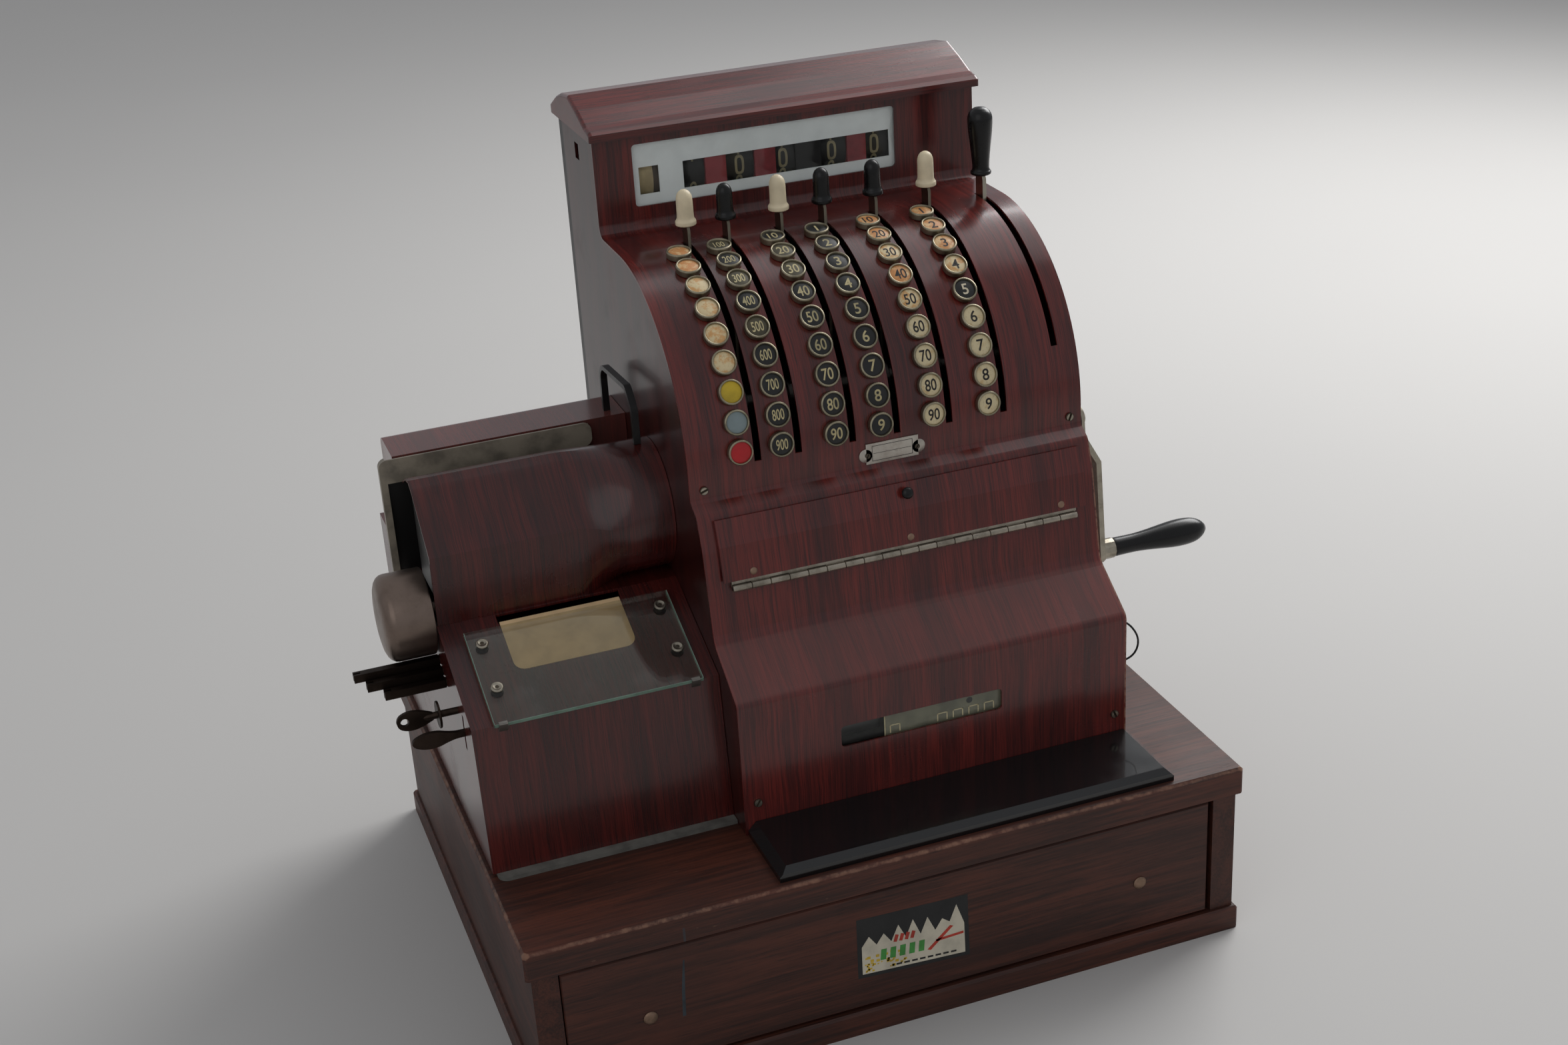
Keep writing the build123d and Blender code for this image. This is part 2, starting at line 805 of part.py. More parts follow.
def lever_arm(x, thickness, foot):
    """A flat bar on a hub, that rises from the lever shaft and ends in a narrower tang."""
    hub = side_plane(x - lever_hub_length / 2)
    prism(hub, lever_axis, lever_hub_radius, lever_hub_length, few_sides)
    xs = (x - thickness / 2, x + thickness / 2)
    ys = (drum_y - lever_stem_depth / 2, drum_y + lever_stem_depth / 2)
    block(xs, ys, (drum_z, drum_z + foot))
    block(xs, tang_ys, (drum_z + foot, drum_z + foot + lever_tang_length))
    bore_out(hub, lever_axis, lever_shaft_radius, lever_hub_length, some_sides)


def grip(x, thickness, foot, length, flange, low_radius, high_radius):
    """A turned grip with a flange at its foot, a domed top and the socket that its tang fills."""
    base = drum_z + foot
    dome = length - high_radius
    profile = [
        (0, flange),
        (lever_knob_flange_rim, flange),
        (lever_knob_flange_height, low_radius),
        (dome, high_radius),
        (dome + 0.7 * high_radius, 0.71 * high_radius),
        (length, 0.24 * high_radius),
    ]
    turned(level(base), (x, drum_y), profile, some_sides)
    xs = (x - thickness / 2, x + thickness / 2)
    block(xs, tang_ys, (base, base + lever_tang_length), mode=Mode.SUBTRACT)


tang_ys = (drum_y - lever_tang_depth / 2, drum_y + lever_tang_depth / 2)
for number, x in enumerate(slot_xs, start=1):
    with BuildPart() as setting_lever:
        lever_arm(x, lever_stem_thickness, lever_knob_foot)
    with BuildPart() as lever_knob:
        radii = (lever_knob_flange, lever_knob_radius, lever_knob_radius)
        grip(x, lever_stem_thickness, lever_knob_foot, lever_knob_length, *radii)
    save_group([setting_lever, lever_knob], f"setting_lever_{number}")

with BuildPart() as main_lever:
    lever_arm(main_lever_x, main_lever_stem_thickness, main_handle_foot)
with BuildPart() as main_lever_handle:
    radii = (main_handle_flange, main_handle_low_radius, main_handle_high_radius)
    grip(main_lever_x, main_lever_stem_thickness, main_handle_foot, main_handle_length, *radii)
save_group([main_lever, main_lever_handle], "main_lever")

# ---- Number discs -----------------------------------------------------------------------
with BuildPart() as number_discs:
    for x in disc_columns:
        for row in range(disc_rows):
            angle = first_disc_angle - row * disc_pitch
            seat = tilted(*polar(drum_radius + disc_seat, angle), angle)
            prism(seat, (x, 0), disc_radius, disc_height, some_sides)
save(number_discs, "number_discs")

# ---- Nameplate and screws ---------------------------------------------------------------
plate_y = drum_y - drum_radius
with BuildPart() as nameplate:
    block((plate_left, plate_right), (plate_y - plate_sheet, plate_y), (plate_low, plate_high))
    for x in (plate_left, plate_right):
        prism(front_plane(plate_y), (x, ear_z), ear_radius, plate_sheet, some_sides)
save(nameplate, "nameplate")

with BuildPart() as cover_screws:
    for x in cover_screw_xs:
        for y, z in ((case_front_y, cover_screw_low), (plate_y, cover_screw_high)):
            head = (cover_screw_radius, cover_screw_height, few_sides)
            prism(front_plane(y), (x, z), *head)
    for x in (plate_left + plate_screw_inset, plate_right - plate_screw_inset):
        head = (plate_screw_radius, plate_sheet, few_sides)
        prism(front_plane(plate_y - plate_sheet), (x, ear_z), *head)

# ---- Counter window in the lower panel --------------------------------------------------
with BuildPart() as counter_plate:
    plate_xs = (counter_plate_left, counter_right + mask_border)
    block(plate_xs, (counter_pane_y, counter_pane_y + plate_sheet), pane_zs)
    hole = (counter_hole_x, counter_hole_z)
    hole_plane = front_plane(counter_pane_y + plate_sheet)
    prism(hole_plane, hole, counter_hole_radius, plate_sheet, some_sides, mode=Mode.SUBTRACT)
counter_axis = (counter_axis_y, counter_axis_z)
with BuildPart() as counter_drums:
    rod(side_plane(inner_left), counter_axis, counter_shaft_radius, inner_right - inner_left)
    drum_left = side_plane(counter_plate_left - counter_drum_gap - counter_drum_length)
    prism(drum_left, counter_axis, counter_wheel_radius, counter_drum_length, some_sides)
save_group([counter_plate, counter_drums], "counter_works")

# ---- Flap -------------------------------------------------------------------------------
lower_lean = math.degrees(math.atan2(flap_bend_z - slope_top, flap_bend_y - slope_back))
upper_lean = math.degrees(math.atan2(ledge_low - flap_bend_z, ledge_front - flap_bend_y))


def before_front(z, distance):
    """A point on the side plane at height z of the case's front, moved out from it."""
    if z < flap_bend_z:
        lean = lower_lean
    elif z > flap_bend_z:
        lean = upper_lean
    else:
        lean = (lower_lean + upper_lean) / 2
        distance = distance / math.cos(math.radians(lower_lean - upper_lean) / 2)
    y = flap_bend_y + (z - flap_bend_z) / math.tan(math.radians(lean))
    a = math.radians(lean)
    return (y - distance * math.sin(a), z + distance * math.cos(a))


def front_layer(x, heights, depths, width, mode=Mode.ADD):
    """A layer that follows the case's front over some heights, between two distances from it."""
    near = [before_front(z, depths[0]) for z in heights]
    far = [before_front(z, depths[1]) for z in reversed(heights)]
    panel(side_plane(x), near + far, width, mode=mode)


flap_heights = (flap_foot_z, flap_bend_z, flap_top_z)
flap_width = flap_right - flap_left
flap_face = flap_stand_off + flap_sheet
with BuildPart() as counter_flap:
    front_layer(flap_left, flap_heights, (flap_stand_off, flap_face), flap_width)
    side_heights = (flap_foot_z + hinge_leaf_height, flap_bend_z, flap_top_z)
    for x in (flap_left, flap_right - flap_sheet):
        front_layer(x, side_heights, (seat_gap, flap_stand_off), flap_sheet)
save(counter_flap, "counter_flap")


def flap_surface(z):
    """A plane on the flap's face at height z, facing out."""
    lean = lower_lean if z < flap_bend_z else upper_lean
    y, height = before_front(z, flap_face)
    return tilted(y, height, 90 - lean)


with BuildPart() as flap_fittings:
    neck = flap_knob_height / 3
    knob_profile = [
        (0, flap_knob_radius / 2),
        (neck, flap_knob_radius / 2),
        (2 * neck, flap_knob_radius),
        (3 * neck, flap_knob_radius / 2),
    ]
    turned(flap_surface(flap_knob_z), (flap_knob_x, 0), knob_profile, some_sides)
    for x in flap_screw_xs:
        prism(flap_surface(flap_screw_z), (x, 0), flap_screw_radius, plate_sheet, few_sides)
save(flap_fittings, "flap_fittings")

knuckle_pitch = (hinge_right - hinge_left) / hinge_knuckles
leaf_low = hinge_z + hinge_radius + seat_gap
leaf_high = leaf_low + hinge_leaf_height
hinge_axis = (hinge_y, hinge_z)
leaf_depths = {0: (0, hinge_leaf), 1: (flap_stand_off - hinge_leaf, flap_stand_off)}


def hinge_half(parity):
    """One leaf of the piano hinge with every second knuckle on it."""
    width = hinge_right - hinge_left
    front_layer(hinge_left, (leaf_low, leaf_high), leaf_depths[parity], width)
    for knuckle in range(parity, hinge_knuckles, 2):
        x = hinge_left + knuckle * knuckle_pitch
        length = knuckle_pitch - seat_gap
        front_layer(x, (hinge_z, leaf_low), leaf_depths[parity], length)
        prism(side_plane(x), hinge_axis, hinge_radius, length, few_sides)
    bore_out(side_plane(hinge_left), hinge_axis, hinge_pin_radius, width, few_sides)


with BuildPart() as hinge_fixed_leaf:
    hinge_half(0)
with BuildPart() as hinge_moving_leaf:
    hinge_half(1)
save(hinge_moving_leaf, "hinge_moving_leaf")

with BuildPart() as hinge_pin:
    rod(side_plane(hinge_left), hinge_axis, hinge_pin_radius, hinge_right - hinge_left)
save_group([hinge_fixed_leaf, hinge_pin], "hinge_fixed_leaf")

# ---- Crank ------------------------------------------------------------------------------
with BuildPart() as crank_shaft:
    reach = crank_hub_x + crank_arm_thickness - crank_shaft_inner
    rod(side_plane(crank_shaft_inner), crank_axis, crank_shaft_radius, reach)
    gear = (crank_gear_radius, crank_gear_width, many_sides)
    prism(side_plane(crank_gear_x), crank_axis, *gear)
save(crank_shaft, "crank_shaft")

tilt = math.radians(crank_tilt)
arm_normal = (0, math.cos(tilt), -math.sin(tilt))
crank_centre = (0, FRONT + crank_y, DECK + crank_z)
crank_plane = Plane(origin=crank_centre, x_dir=(1, 0, 0), z_dir=arm_normal)
throw_y = crank_y - crank_throw * math.sin(tilt)
throw_z = crank_z - crank_throw * math.cos(tilt)
arm_end = crank_throw + crank_arm_half_width
arm_face_x = crank_arm_x + crank_arm_thickness
with BuildPart() as crank_arm:
    arm_side = [
        (crank_hub_x, -crank_arm_half_width),
        (crank_hub_x + crank_arm_thickness, -crank_arm_half_width),
        (crank_hub_x + crank_arm_thickness, crank_bend_start),
        (arm_face_x, crank_bend_end),
        (arm_face_x, arm_end),
        (crank_arm_x, arm_end),
        (crank_arm_x, crank_bend_end + 1),
        (crank_hub_x, crank_bend_start + 1),
    ]
    panel(crank_plane.offset(-crank_arm_half_width), arm_side, 2 * crank_arm_half_width)
    end_edges = crank_arm.edges().filter_by(Axis.X)
    fillet(end_edges, crank_arm_half_width - 1)
    hub = side_plane(crank_hub_x)
    rod(hub, crank_axis, crank_shaft_radius, crank_arm_thickness, mode=Mode.SUBTRACT)
    throw_centre = (throw_y, throw_z)
    prism(side_plane(arm_face_x), throw_centre, ferrule_radius, ferrule_length, some_sides)
    spindle_length = ferrule_length + 0.8 * handle_length
    rod(side_plane(arm_face_x), throw_centre, handle_spindle_radius, spindle_length)
save(crank_arm, "crank_arm")

handle_start = arm_face_x + ferrule_length + seat_gap
with BuildPart() as crank_handle:
    handle_profile = [
        (0, handle_neck_radius),
        (0.25 * handle_length, handle_neck_radius),
        (0.45 * handle_length, (handle_neck_radius + handle_belly_radius) / 2),
        (0.70 * handle_length, handle_belly_radius),
        (0.86 * handle_length, 0.88 * handle_belly_radius),
        (0.95 * handle_length, 0.58 * handle_belly_radius),
        (handle_length, handle_tip_radius),
    ]
    turned(side_plane(handle_start), throw_centre, handle_profile, some_sides)
    bore_length = 0.8 * handle_length + seat_gap
    bore_out(side_plane(handle_start), throw_centre, handle_spindle_radius, bore_length, some_sides)
save(crank_handle, "crank_handle")

# ---- Cord loop --------------------------------------------------------------------------
points = [Vector(x, FRONT + y, DECK + z) for x, y, z in cord_points]
runs = [(after - before) for before, after in zip(points, points[1:])]
turns = [before.get_angle(after) for before, after in zip(runs, runs[1:])]
cord_bends = [
    0.45 * min(before.length, after.length) / math.tan(math.radians(turn / 2))
    for before, after, turn in zip(runs, runs[1:], turns)
]
with BuildPart() as cord_loop:
    with BuildLine() as route:
        FilletPolyline(*points, radius=cord_bends)
    corner_radius = cord_radius * math.sqrt(2 * math.pi / cord_sides / math.sin(2 * math.pi / cord_sides))
    with BuildSketch(Plane(origin=points[0], z_dir=runs[0])):
        RegularPolygon(corner_radius, cord_sides)
    sweep(path=route.line)
save(cord_loop, "cord_loop")
print("cord bends", [round(radius, 1) for radius in cord_bends])
cord_length = sum(edge.length for edge in route.line.edges())
tube = math.pi * cord_radius**2 * cord_length
print("cord volume", round(cord_loop.part.volume, 2), "of", round(tube, 2))

# ---- Printer housing --------------------------------------------------------------------
printer_outline = [
    (printer_foot_y, plate_thickness),
    (printer_fold_y, printer_fold_z),
    (printer_slope_back, printer_slope_top),
    (printer_back, printer_slope_top),
    (printer_back, plate_thickness),
]
slope_rise = printer_slope_top - printer_fold_z
slope_lean = math.degrees(math.atan2(slope_rise, printer_slope_back - printer_fold_y))
slope = tilted(printer_fold_y, printer_fold_z, 90 - slope_lean)
feed_axis = (feed_drum_y, feed_drum_z)
key_axis = (key_y, key_z)
with BuildPart() as printer_case:
    panel(side_plane(printer_left), printer_outline, printer_right - printer_left)
    with BuildSketch(side_plane(printer_left + sheet)) as hollow:
        with BuildLine():
            Polyline(*printer_outline, close=True)
        make_face()
        offset(amount=-sheet)
    extrude(hollow.sketch, amount=printer_right - printer_left - 2 * sheet, mode=Mode.SUBTRACT)
    inside_xs = (printer_left + sheet, printer_right - sheet)
    inside_ys = (printer_fold_y, printer_back - sheet)
    block(inside_xs, inside_ys, (plate_thickness, plate_thickness + sheet), mode=Mode.SUBTRACT)
    well_xs = (printer_left + sheet, hood_blend_left - well_margin)
    well_ys = (hood_face_y + 3 * sheet, frame_front - 2 * sheet)
    well_zs = (printer_slope_top - 2 * sheet, printer_slope_top)
    block(well_xs, well_ys, well_zs, mode=Mode.SUBTRACT)
    block(paper_slot_x, paper_slot_y, (printer_fold_z, printer_slope_top), mode=Mode.SUBTRACT)
    left_wall = side_plane(printer_left)
    rod(left_wall, feed_axis, feed_shaft_radius + run_gap, sheet, mode=Mode.SUBTRACT)
    rod(left_wall, key_axis, key_shank_radius + run_gap, sheet, mode=Mode.SUBTRACT)
    for y, z, length in date_spindles:
        rod(left_wall, (y, z), date_journal_radius + run_gap, sheet, mode=Mode.SUBTRACT)
    slot_ys = (rocker_y - rocker_slot_width / 2, rocker_y + rocker_slot_width / 2)
    slot_zs = (rocker_z - rocker_slot_height / 2, rocker_z + rocker_slot_height / 2)
    block((printer_left, printer_left + sheet), slot_ys, slot_zs, mode=Mode.SUBTRACT)
save(printer_case, "printer_case")

hood_foot = (hood_face_y + hood_foot_lean, printer_slope_top)
hood_fold = (hood_face_y, hood_fold_z)
hood_brow = (hood_brow_y, hood_brow_z)
hood_line = [
    hood_foot,
    bowed(hood_foot, hood_fold, 1 / 2),
    hood_fold,
    bowed(hood_fold, hood_brow, 1 / 3),
    bowed(hood_fold, hood_brow, 2 / 3),
    hood_brow,
    (hood_top_y, hood_top_z),
    hood_rear_bend,
    hood_rear_edge,
]
cheek_foot_angle = -math.degrees(math.asin((cheek_z - printer_slope_top) / cheek_radius))
cheek_line = [
    (
        cheek_y - cheek_radius * math.cos(math.radians(angle)),
        cheek_z + cheek_radius * math.sin(math.radians(angle)),
    )
    for angle in [cheek_foot_angle, *cheek_angles]
]


def inner_line(line):
    """The inner face of a bent sheet whose outer face runs from its front foot up and back."""
    normals = []
    for (y0, z0), (y1, z1) in zip(line, line[1:]):
        length = math.hypot(y1 - y0, z1 - z0)
        normals.append(((z1 - z0) / length, (y0 - y1) / length))
    inner = [(line[0][0] + sheet / normals[0][0], line[0][1])]
    for (y, z), before, after in zip(line[1:-1], normals, normals[1:]):
        share = sheet / (1 + before[0] * after[0] + before[1] * after[1])
        inner.append((y + share * (before[0] + after[0]), z + share * (before[1] + after[1])))
    inner.append((line[-1][0], line[-1][1] + sheet / normals[-1][1]))
    return inner


def hood_section(x, line):
    """The corners of the hood's cut edge at x."""
    return [side_plane(x).from_local_coords((y, z, 0)) for y, z in [*line, *reversed(inner_line(line))]]


hood_left_x = printer_left + hood_end_inset
with BuildPart() as printer_hood:
    faceted(
        [
            hood_section(hood_left_x, hood_line),
            hood_section(hood_blend_left, hood_line),
            hood_section(cheek_left, cheek_line),
            hood_section(printer_right, cheek_line),
        ]
    )
    end_plate = [*inner_line(hood_line), (hood_rear_edge[0], printer_slope_top)]
    end_plane = side_plane(hood_left_x + hood_end_plate)
    panel(end_plane, end_plate, sheet)
    rod(end_plane, feed_axis, feed_shaft_radius + run_gap, sheet, mode=Mode.SUBTRACT)
save(printer_hood, "printer_hood")

with BuildPart() as printer_glass:
    pane = slope.offset(glass_lift)
    corners = [
        (glass_left, glass_low),
        (glass_right, glass_low),
        (glass_right, glass_high),
        (glass_left, glass_high),
    ]
    panel(pane, corners, pane_thickness)
    for x in glass_screw_xs:
        for row in glass_screw_rows:
            hole = (glass_hole_radius, pane_thickness, few_sides)
            prism(pane, (x, row), *hole, mode=Mode.SUBTRACT)
save(printer_glass, "printer_glass")

with BuildPart() as glass_screws:
    for x in glass_screw_xs:
        for row in glass_screw_rows:
            shank = glass_hole_radius - seat_gap
            prism(slope, (x, row), shank, glass_lift + pane_thickness, few_sides)
            prism(slope, (x, row), glass_screw_radius, glass_lift, few_sides)
            head = slope.offset(glass_lift + pane_thickness)
            prism(head, (x, row), glass_screw_radius, sheet, some_sides)
save_group([cover_screws, glass_screws], "cover_screws")

with BuildPart() as paper:
    paper_end_y = paper_slot_y[0] + paper_tuck
    paper_high = (paper_end_y - printer_fold_y) / math.cos(math.radians(slope_lean))
    paper_outline = [
        (paper_x[0], paper_high),
        (paper_x[0], paper_low + paper_corner),
        (paper_x[0] + paper_corner, paper_low),
        (paper_x[1] - paper_corner, paper_low),
        (paper_x[1], paper_low + paper_corner),
        (paper_x[1], paper_high),
    ]
    panel(slope, paper_outline, paper_thickness)
save(paper, "paper")

# ---- Paper box --------------------------------------------------------------------------
box_right = printer_right
with BuildPart() as paper_box:
    block((printer_left, box_right), (box_front, box_back), (printer_slope_top, box_top))
    upper_edges = paper_box.edges().filter_by(Axis.X).group_by(Axis.Z)[-1]
    fillet(upper_edges.sort_by(Axis.Y)[-1:], shelf_radius)
    hollow_xs = (printer_left + sheet, box_right - sheet)
    hollow_ys = (box_front + sheet, box_back - sheet)
    block(hollow_xs, hollow_ys, (printer_slope_top, box_top - sheet), mode=Mode.SUBTRACT)
save(paper_box, "paper_box")

with BuildPart() as paper_box_frame:
    lip_zs = (frame_lip_low, box_top)
    frame_ys = (frame_front, box_front)
    lip_xs = (frame_left, frame_right)
    rounded_panel(front_plane(box_front), lip_xs, lip_zs, frame_corner, box_front - frame_front)
    strip_xs = (frame_left, frame_left + frame_strip)
    block(strip_xs, frame_ys, (printer_slope_top, frame_lip_low + frame_corner))
    groove_xs = (frame_left + frame_strip, frame_right - frame_band)
    groove_ys = (frame_front + frame_band, box_front)
    block(groove_xs, groove_ys, (frame_groove_floor, box_top), mode=Mode.SUBTRACT)
save(paper_box_frame, "paper_box_frame")

roll_axis = (roll_y, roll_z)
with BuildPart() as paper_roll:
    roll_left = printer_left + 2 * sheet
    roll_plane = side_plane(roll_left)
    roll_length = box_right - 2 * sheet - roll_left
    prism(roll_plane, roll_axis, roll_radius, roll_length, many_sides)
    bore_out(roll_plane, roll_axis, roll_spindle_radius, roll_length, some_sides)
with BuildPart() as roll_spindle:
    spindle_length = box_right - printer_left - 2 * sheet
    rod(side_plane(printer_left + sheet), roll_axis, roll_spindle_radius, spindle_length)
save_group([paper_roll, roll_spindle], "paper_roll")

bail_foot = cheek_z + cheek_radius + seat_gap / 2
with BuildPart() as paper_bail:
    with BuildLine(side_plane(bail_x)) as bail_path:
        FilletPolyline(
            (bail_front_y, bail_foot),
            (bail_front_y, bail_high_front - bail_bend),
            (bail_front_y + bail_bend, bail_high_front),
            (bail_back_y, bail_high_back),
            (bail_back_y, box_top),
            radius=[bail_bend / 2, bail_bend / 2, bail_bend],
        )
    start = Plane(origin=bail_path.line @ 0, x_dir=(1, 0, 0), z_dir=bail_path.line % 0)
    with BuildSketch(start):
        Rectangle(bail_width, bail_thickness)
    sweep(path=bail_path.line)
save(paper_bail, "paper_bail")

# ---- Controls on the printer's left wall ------------------------------------------------
drum_end = printer_left - feed_drum_gap
drum_left = side_plane(drum_end - feed_drum_length)
with BuildPart() as feed_drum:
    drum_profile = []
    for angle in range(0, 91, 30):
        turn = math.radians(angle)
        radius = feed_drum_radius - feed_drum_edge * (1 - math.sin(turn))
        drum_profile.append((feed_drum_edge * (1 - math.cos(turn)), radius))
    drum_profile.append((feed_drum_length, feed_drum_radius))
    turned(drum_left, feed_axis, drum_profile, drum_sides)
    cup = feed_drum_radius - feed_drum_skin
    cup_plane = drum_left.offset(feed_drum_edge)
    prism(cup_plane, feed_axis, cup, feed_drum_length, drum_sides, mode=Mode.SUBTRACT)
    stem = feed_drum_length + feed_shaft_length - feed_drum_edge
    rod(cup_plane, feed_axis, feed_shaft_radius, stem)
save(feed_drum, "feed_drum")


def leaf(half_heights, z):
    """A flat leaf's outline about the height z, from its tip, by half heights at some X."""
    upper = [(x, z + half) for x, half in half_heights]
    lower = [(x, z - half) for x, half in reversed(half_heights)]
    return upper + lower


for number, (y, z, length) in enumerate(date_spindles, start=1):
    with BuildPart() as date_spindle:
        half = date_square / 2
        shoulder = printer_left - seat_gap
        block((printer_left - length, shoulder), (y - half, y + half), (z - half, z + half))
        rod(side_plane(shoulder), (y, z), date_journal_radius, date_journal_length)
    save(date_spindle, f"date_spindle_{number}")

with BuildPart() as lock_key:
    shank_start = key_bow[-2][0]
    shank_length = printer_left + date_journal_length - shank_start
    rod(side_plane(shank_start), key_axis, key_shank_radius, shank_length)
    prism(side_plane(key_boss_x), key_axis, key_boss_radius, key_boss_width, many_sides)
    bow_plane = front_plane(key_y + key_bow_thickness / 2)
    panel(bow_plane, leaf(key_bow, key_z), key_bow_thickness)
    hole = (key_hole_radius, key_bow_thickness, few_sides)
    prism(bow_plane, (key_hole_x, key_z), *hole, mode=Mode.SUBTRACT)
save(lock_key, "lock_key")

with BuildPart() as side_rocker:
    rocker_plane = front_plane(rocker_y + rocker_thickness / 2)
    shank_end = (rocker_pivot_x, rocker_leaf[-1][1])
    panel(rocker_plane, leaf([*rocker_leaf, shank_end], rocker_z), rocker_thickness)
    pivot = (rocker_pivot_x, rocker_z)
    prism(rocker_plane, pivot, 2 * rocker_pin_radius, rocker_thickness, some_sides)
    bore_out(rocker_plane, pivot, rocker_pin_radius, rocker_thickness, some_sides)
save(side_rocker, "side_rocker")

with BuildPart() as rocker_pin:
    pin_back = front_plane(printer_back - sheet)
    pin_length = printer_back - sheet - rocker_y + rocker_thickness
    rod(pin_back, (rocker_pivot_x, rocker_z), rocker_pin_radius, pin_length)
save(rocker_pin, "rocker_pin")
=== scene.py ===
import json
import math
import random

import bmesh
import bpy
from mathutils import Matrix, Vector

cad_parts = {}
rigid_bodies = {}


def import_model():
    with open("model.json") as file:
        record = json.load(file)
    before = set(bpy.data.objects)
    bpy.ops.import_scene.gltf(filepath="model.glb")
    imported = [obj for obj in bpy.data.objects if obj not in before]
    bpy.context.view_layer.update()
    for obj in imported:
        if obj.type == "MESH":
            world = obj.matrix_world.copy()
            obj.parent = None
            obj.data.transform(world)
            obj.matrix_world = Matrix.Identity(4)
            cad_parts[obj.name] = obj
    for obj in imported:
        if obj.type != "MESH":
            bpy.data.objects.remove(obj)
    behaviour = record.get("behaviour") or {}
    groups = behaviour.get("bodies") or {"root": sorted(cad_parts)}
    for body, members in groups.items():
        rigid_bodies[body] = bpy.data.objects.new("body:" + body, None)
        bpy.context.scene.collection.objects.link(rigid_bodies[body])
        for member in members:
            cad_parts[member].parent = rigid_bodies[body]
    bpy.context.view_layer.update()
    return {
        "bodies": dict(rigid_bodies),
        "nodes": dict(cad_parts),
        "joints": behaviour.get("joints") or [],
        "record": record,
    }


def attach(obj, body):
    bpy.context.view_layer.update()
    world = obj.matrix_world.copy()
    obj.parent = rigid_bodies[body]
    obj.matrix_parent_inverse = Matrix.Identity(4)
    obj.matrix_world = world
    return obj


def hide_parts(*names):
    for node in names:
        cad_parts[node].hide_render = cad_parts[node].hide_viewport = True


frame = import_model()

NODES = frame["nodes"]
MM = 0.001

# Deck frame, as in the part's source: y back from the cabinet's front edge, z above its top board.
FRONT_Y = -0.2145
DECK_Z = 0.137

# Places in that frame, in millimetres. A pair is the y and z of an axis that runs across the
# register; the discs' centres lie at DRUM_RADIUS from DRUM_AXIS, and DRAWER_FACE is a y.
LEVER_XS = (-36.95, -7.45, 32.35, 65.45, 104.85, 146.55)
MAIN_LEVER_X = 190.5
DISC_XS = (-49.7, -20.2, 19.6, 52.7, 92.1, 133.8)
DRUM_AXIS = (265.5, 237.5)
DRUM_RADIUS = 125.52
WHEEL_AXIS = (344, 398)
COUNTER_AXIS = (91, 59.6)
HINGE_AXIS = (113.5, 167.4)
CRANK_AXIS = (157, 222)
CRANK_HANDLE_AXIS = (145.96, 116.98)
FEED_DRUM_AXIS = (215, 149)
KEY_AXIS = (150, 102.5)
CHEEK_AXIS = (226, 192)
DRAWER_FACE = 4

# The flap's face from the bend of the case below it up to its top edge, as y and z.
FLAP_FOOT = (110, 130.3)
FLAP_BEND = (121.6, 196)
FLAP_TOP = (129.5, 217.5)

# The printer's sloping face, as y and z of its foot and head.
SLOPE_FOOT = (105.3, 109.5)
SLOPE_HEAD = (191.6, 146.6)

# Where a finish changes, in metres of the scene: from no change to full change.
PRINTER_LEFT_FACE = (-0.2588, -0.2594)
CASE_RIGHT_RIM = (0.2054, 0.2066)
BELOW_THE_DRUM = (0.362, 0.340)
CASE_SLOPE_FOOT = (0.2388, 0.2413)
CASE_SLOPE_HEAD = (0.2678, 0.2653)
BOARD_FRONT = (FRONT_Y + 0.0055, FRONT_Y + 0.0005)
BOARD_LEFT = (-0.2585, -0.2635)
BOARD_RIGHT = (0.2590, 0.2637)
BOARD_TOP = (DECK_Z - 0.0060, DECK_Z - 0.0005)


# ---- Camera, floor and light ----------------------------------------------------------------
PHOTO_WIDTH = 2352
FOCAL_PIXELS = 3225.358
SENSOR_WIDTH = 36.0
CAMERA_PLACE = (-455.972, -1129.677, 821.492)


def set_camera():
    """The photograph's camera, from the fit of the cabinet's edges and the number discs."""
    turn, dip, roll = 0.32979, 0.43636, -0.06315
    ahead = Vector((math.sin(turn) * math.cos(dip), math.cos(turn) * math.cos(dip), -math.sin(dip)))
    level_right = Vector((math.cos(turn), -math.sin(turn), 0))
    level_up = level_right.cross(ahead)
    right = level_right * math.cos(roll) + level_up * math.sin(roll)
    up = level_up * math.cos(roll) - level_right * math.sin(roll)
    lens = bpy.data.cameras.new("camera")
    lens.sensor_width = SENSOR_WIDTH
    lens.lens = SENSOR_WIDTH * FOCAL_PIXELS / PHOTO_WIDTH
    lens.clip_start, lens.clip_end = 0.05, 50
    camera = bpy.data.objects.new("camera", lens)
    bpy.context.scene.collection.objects.link(camera)
    x, y, z = CAMERA_PLACE
    place = Vector((x, y + FRONT_Y / MM, z + DECK_Z / MM)) * MM
    camera.matrix_world = Matrix.Translation(place) @ Matrix((right, up, -ahead)).transposed().to_4x4()
    bpy.context.scene.camera = camera


def area_light(name, place, aim, size, power):
    lamp = bpy.data.lights.new(name, "AREA")
    lamp.shape = "RECTANGLE"
    lamp.size, lamp.size_y = size
    lamp.energy = power
    light = bpy.data.objects.new(name, lamp)
    bpy.context.scene.collection.objects.link(light)
    light.location = place
    light.rotation_mode = "QUATERNION"
    light.rotation_quaternion = (Vector(aim) - Vector(place)).to_track_quat("-Z", "Y")


# ---- Finishes -------------------------------------------------------------------------------
def arithmetic(operation, swapped=False):
    def apply(self, other=0.0):
        first, second = (other, self) if swapped else (self, other)
        return self.finish.node("Math", {"operation": operation}, {0: first, 1: second})
    return apply


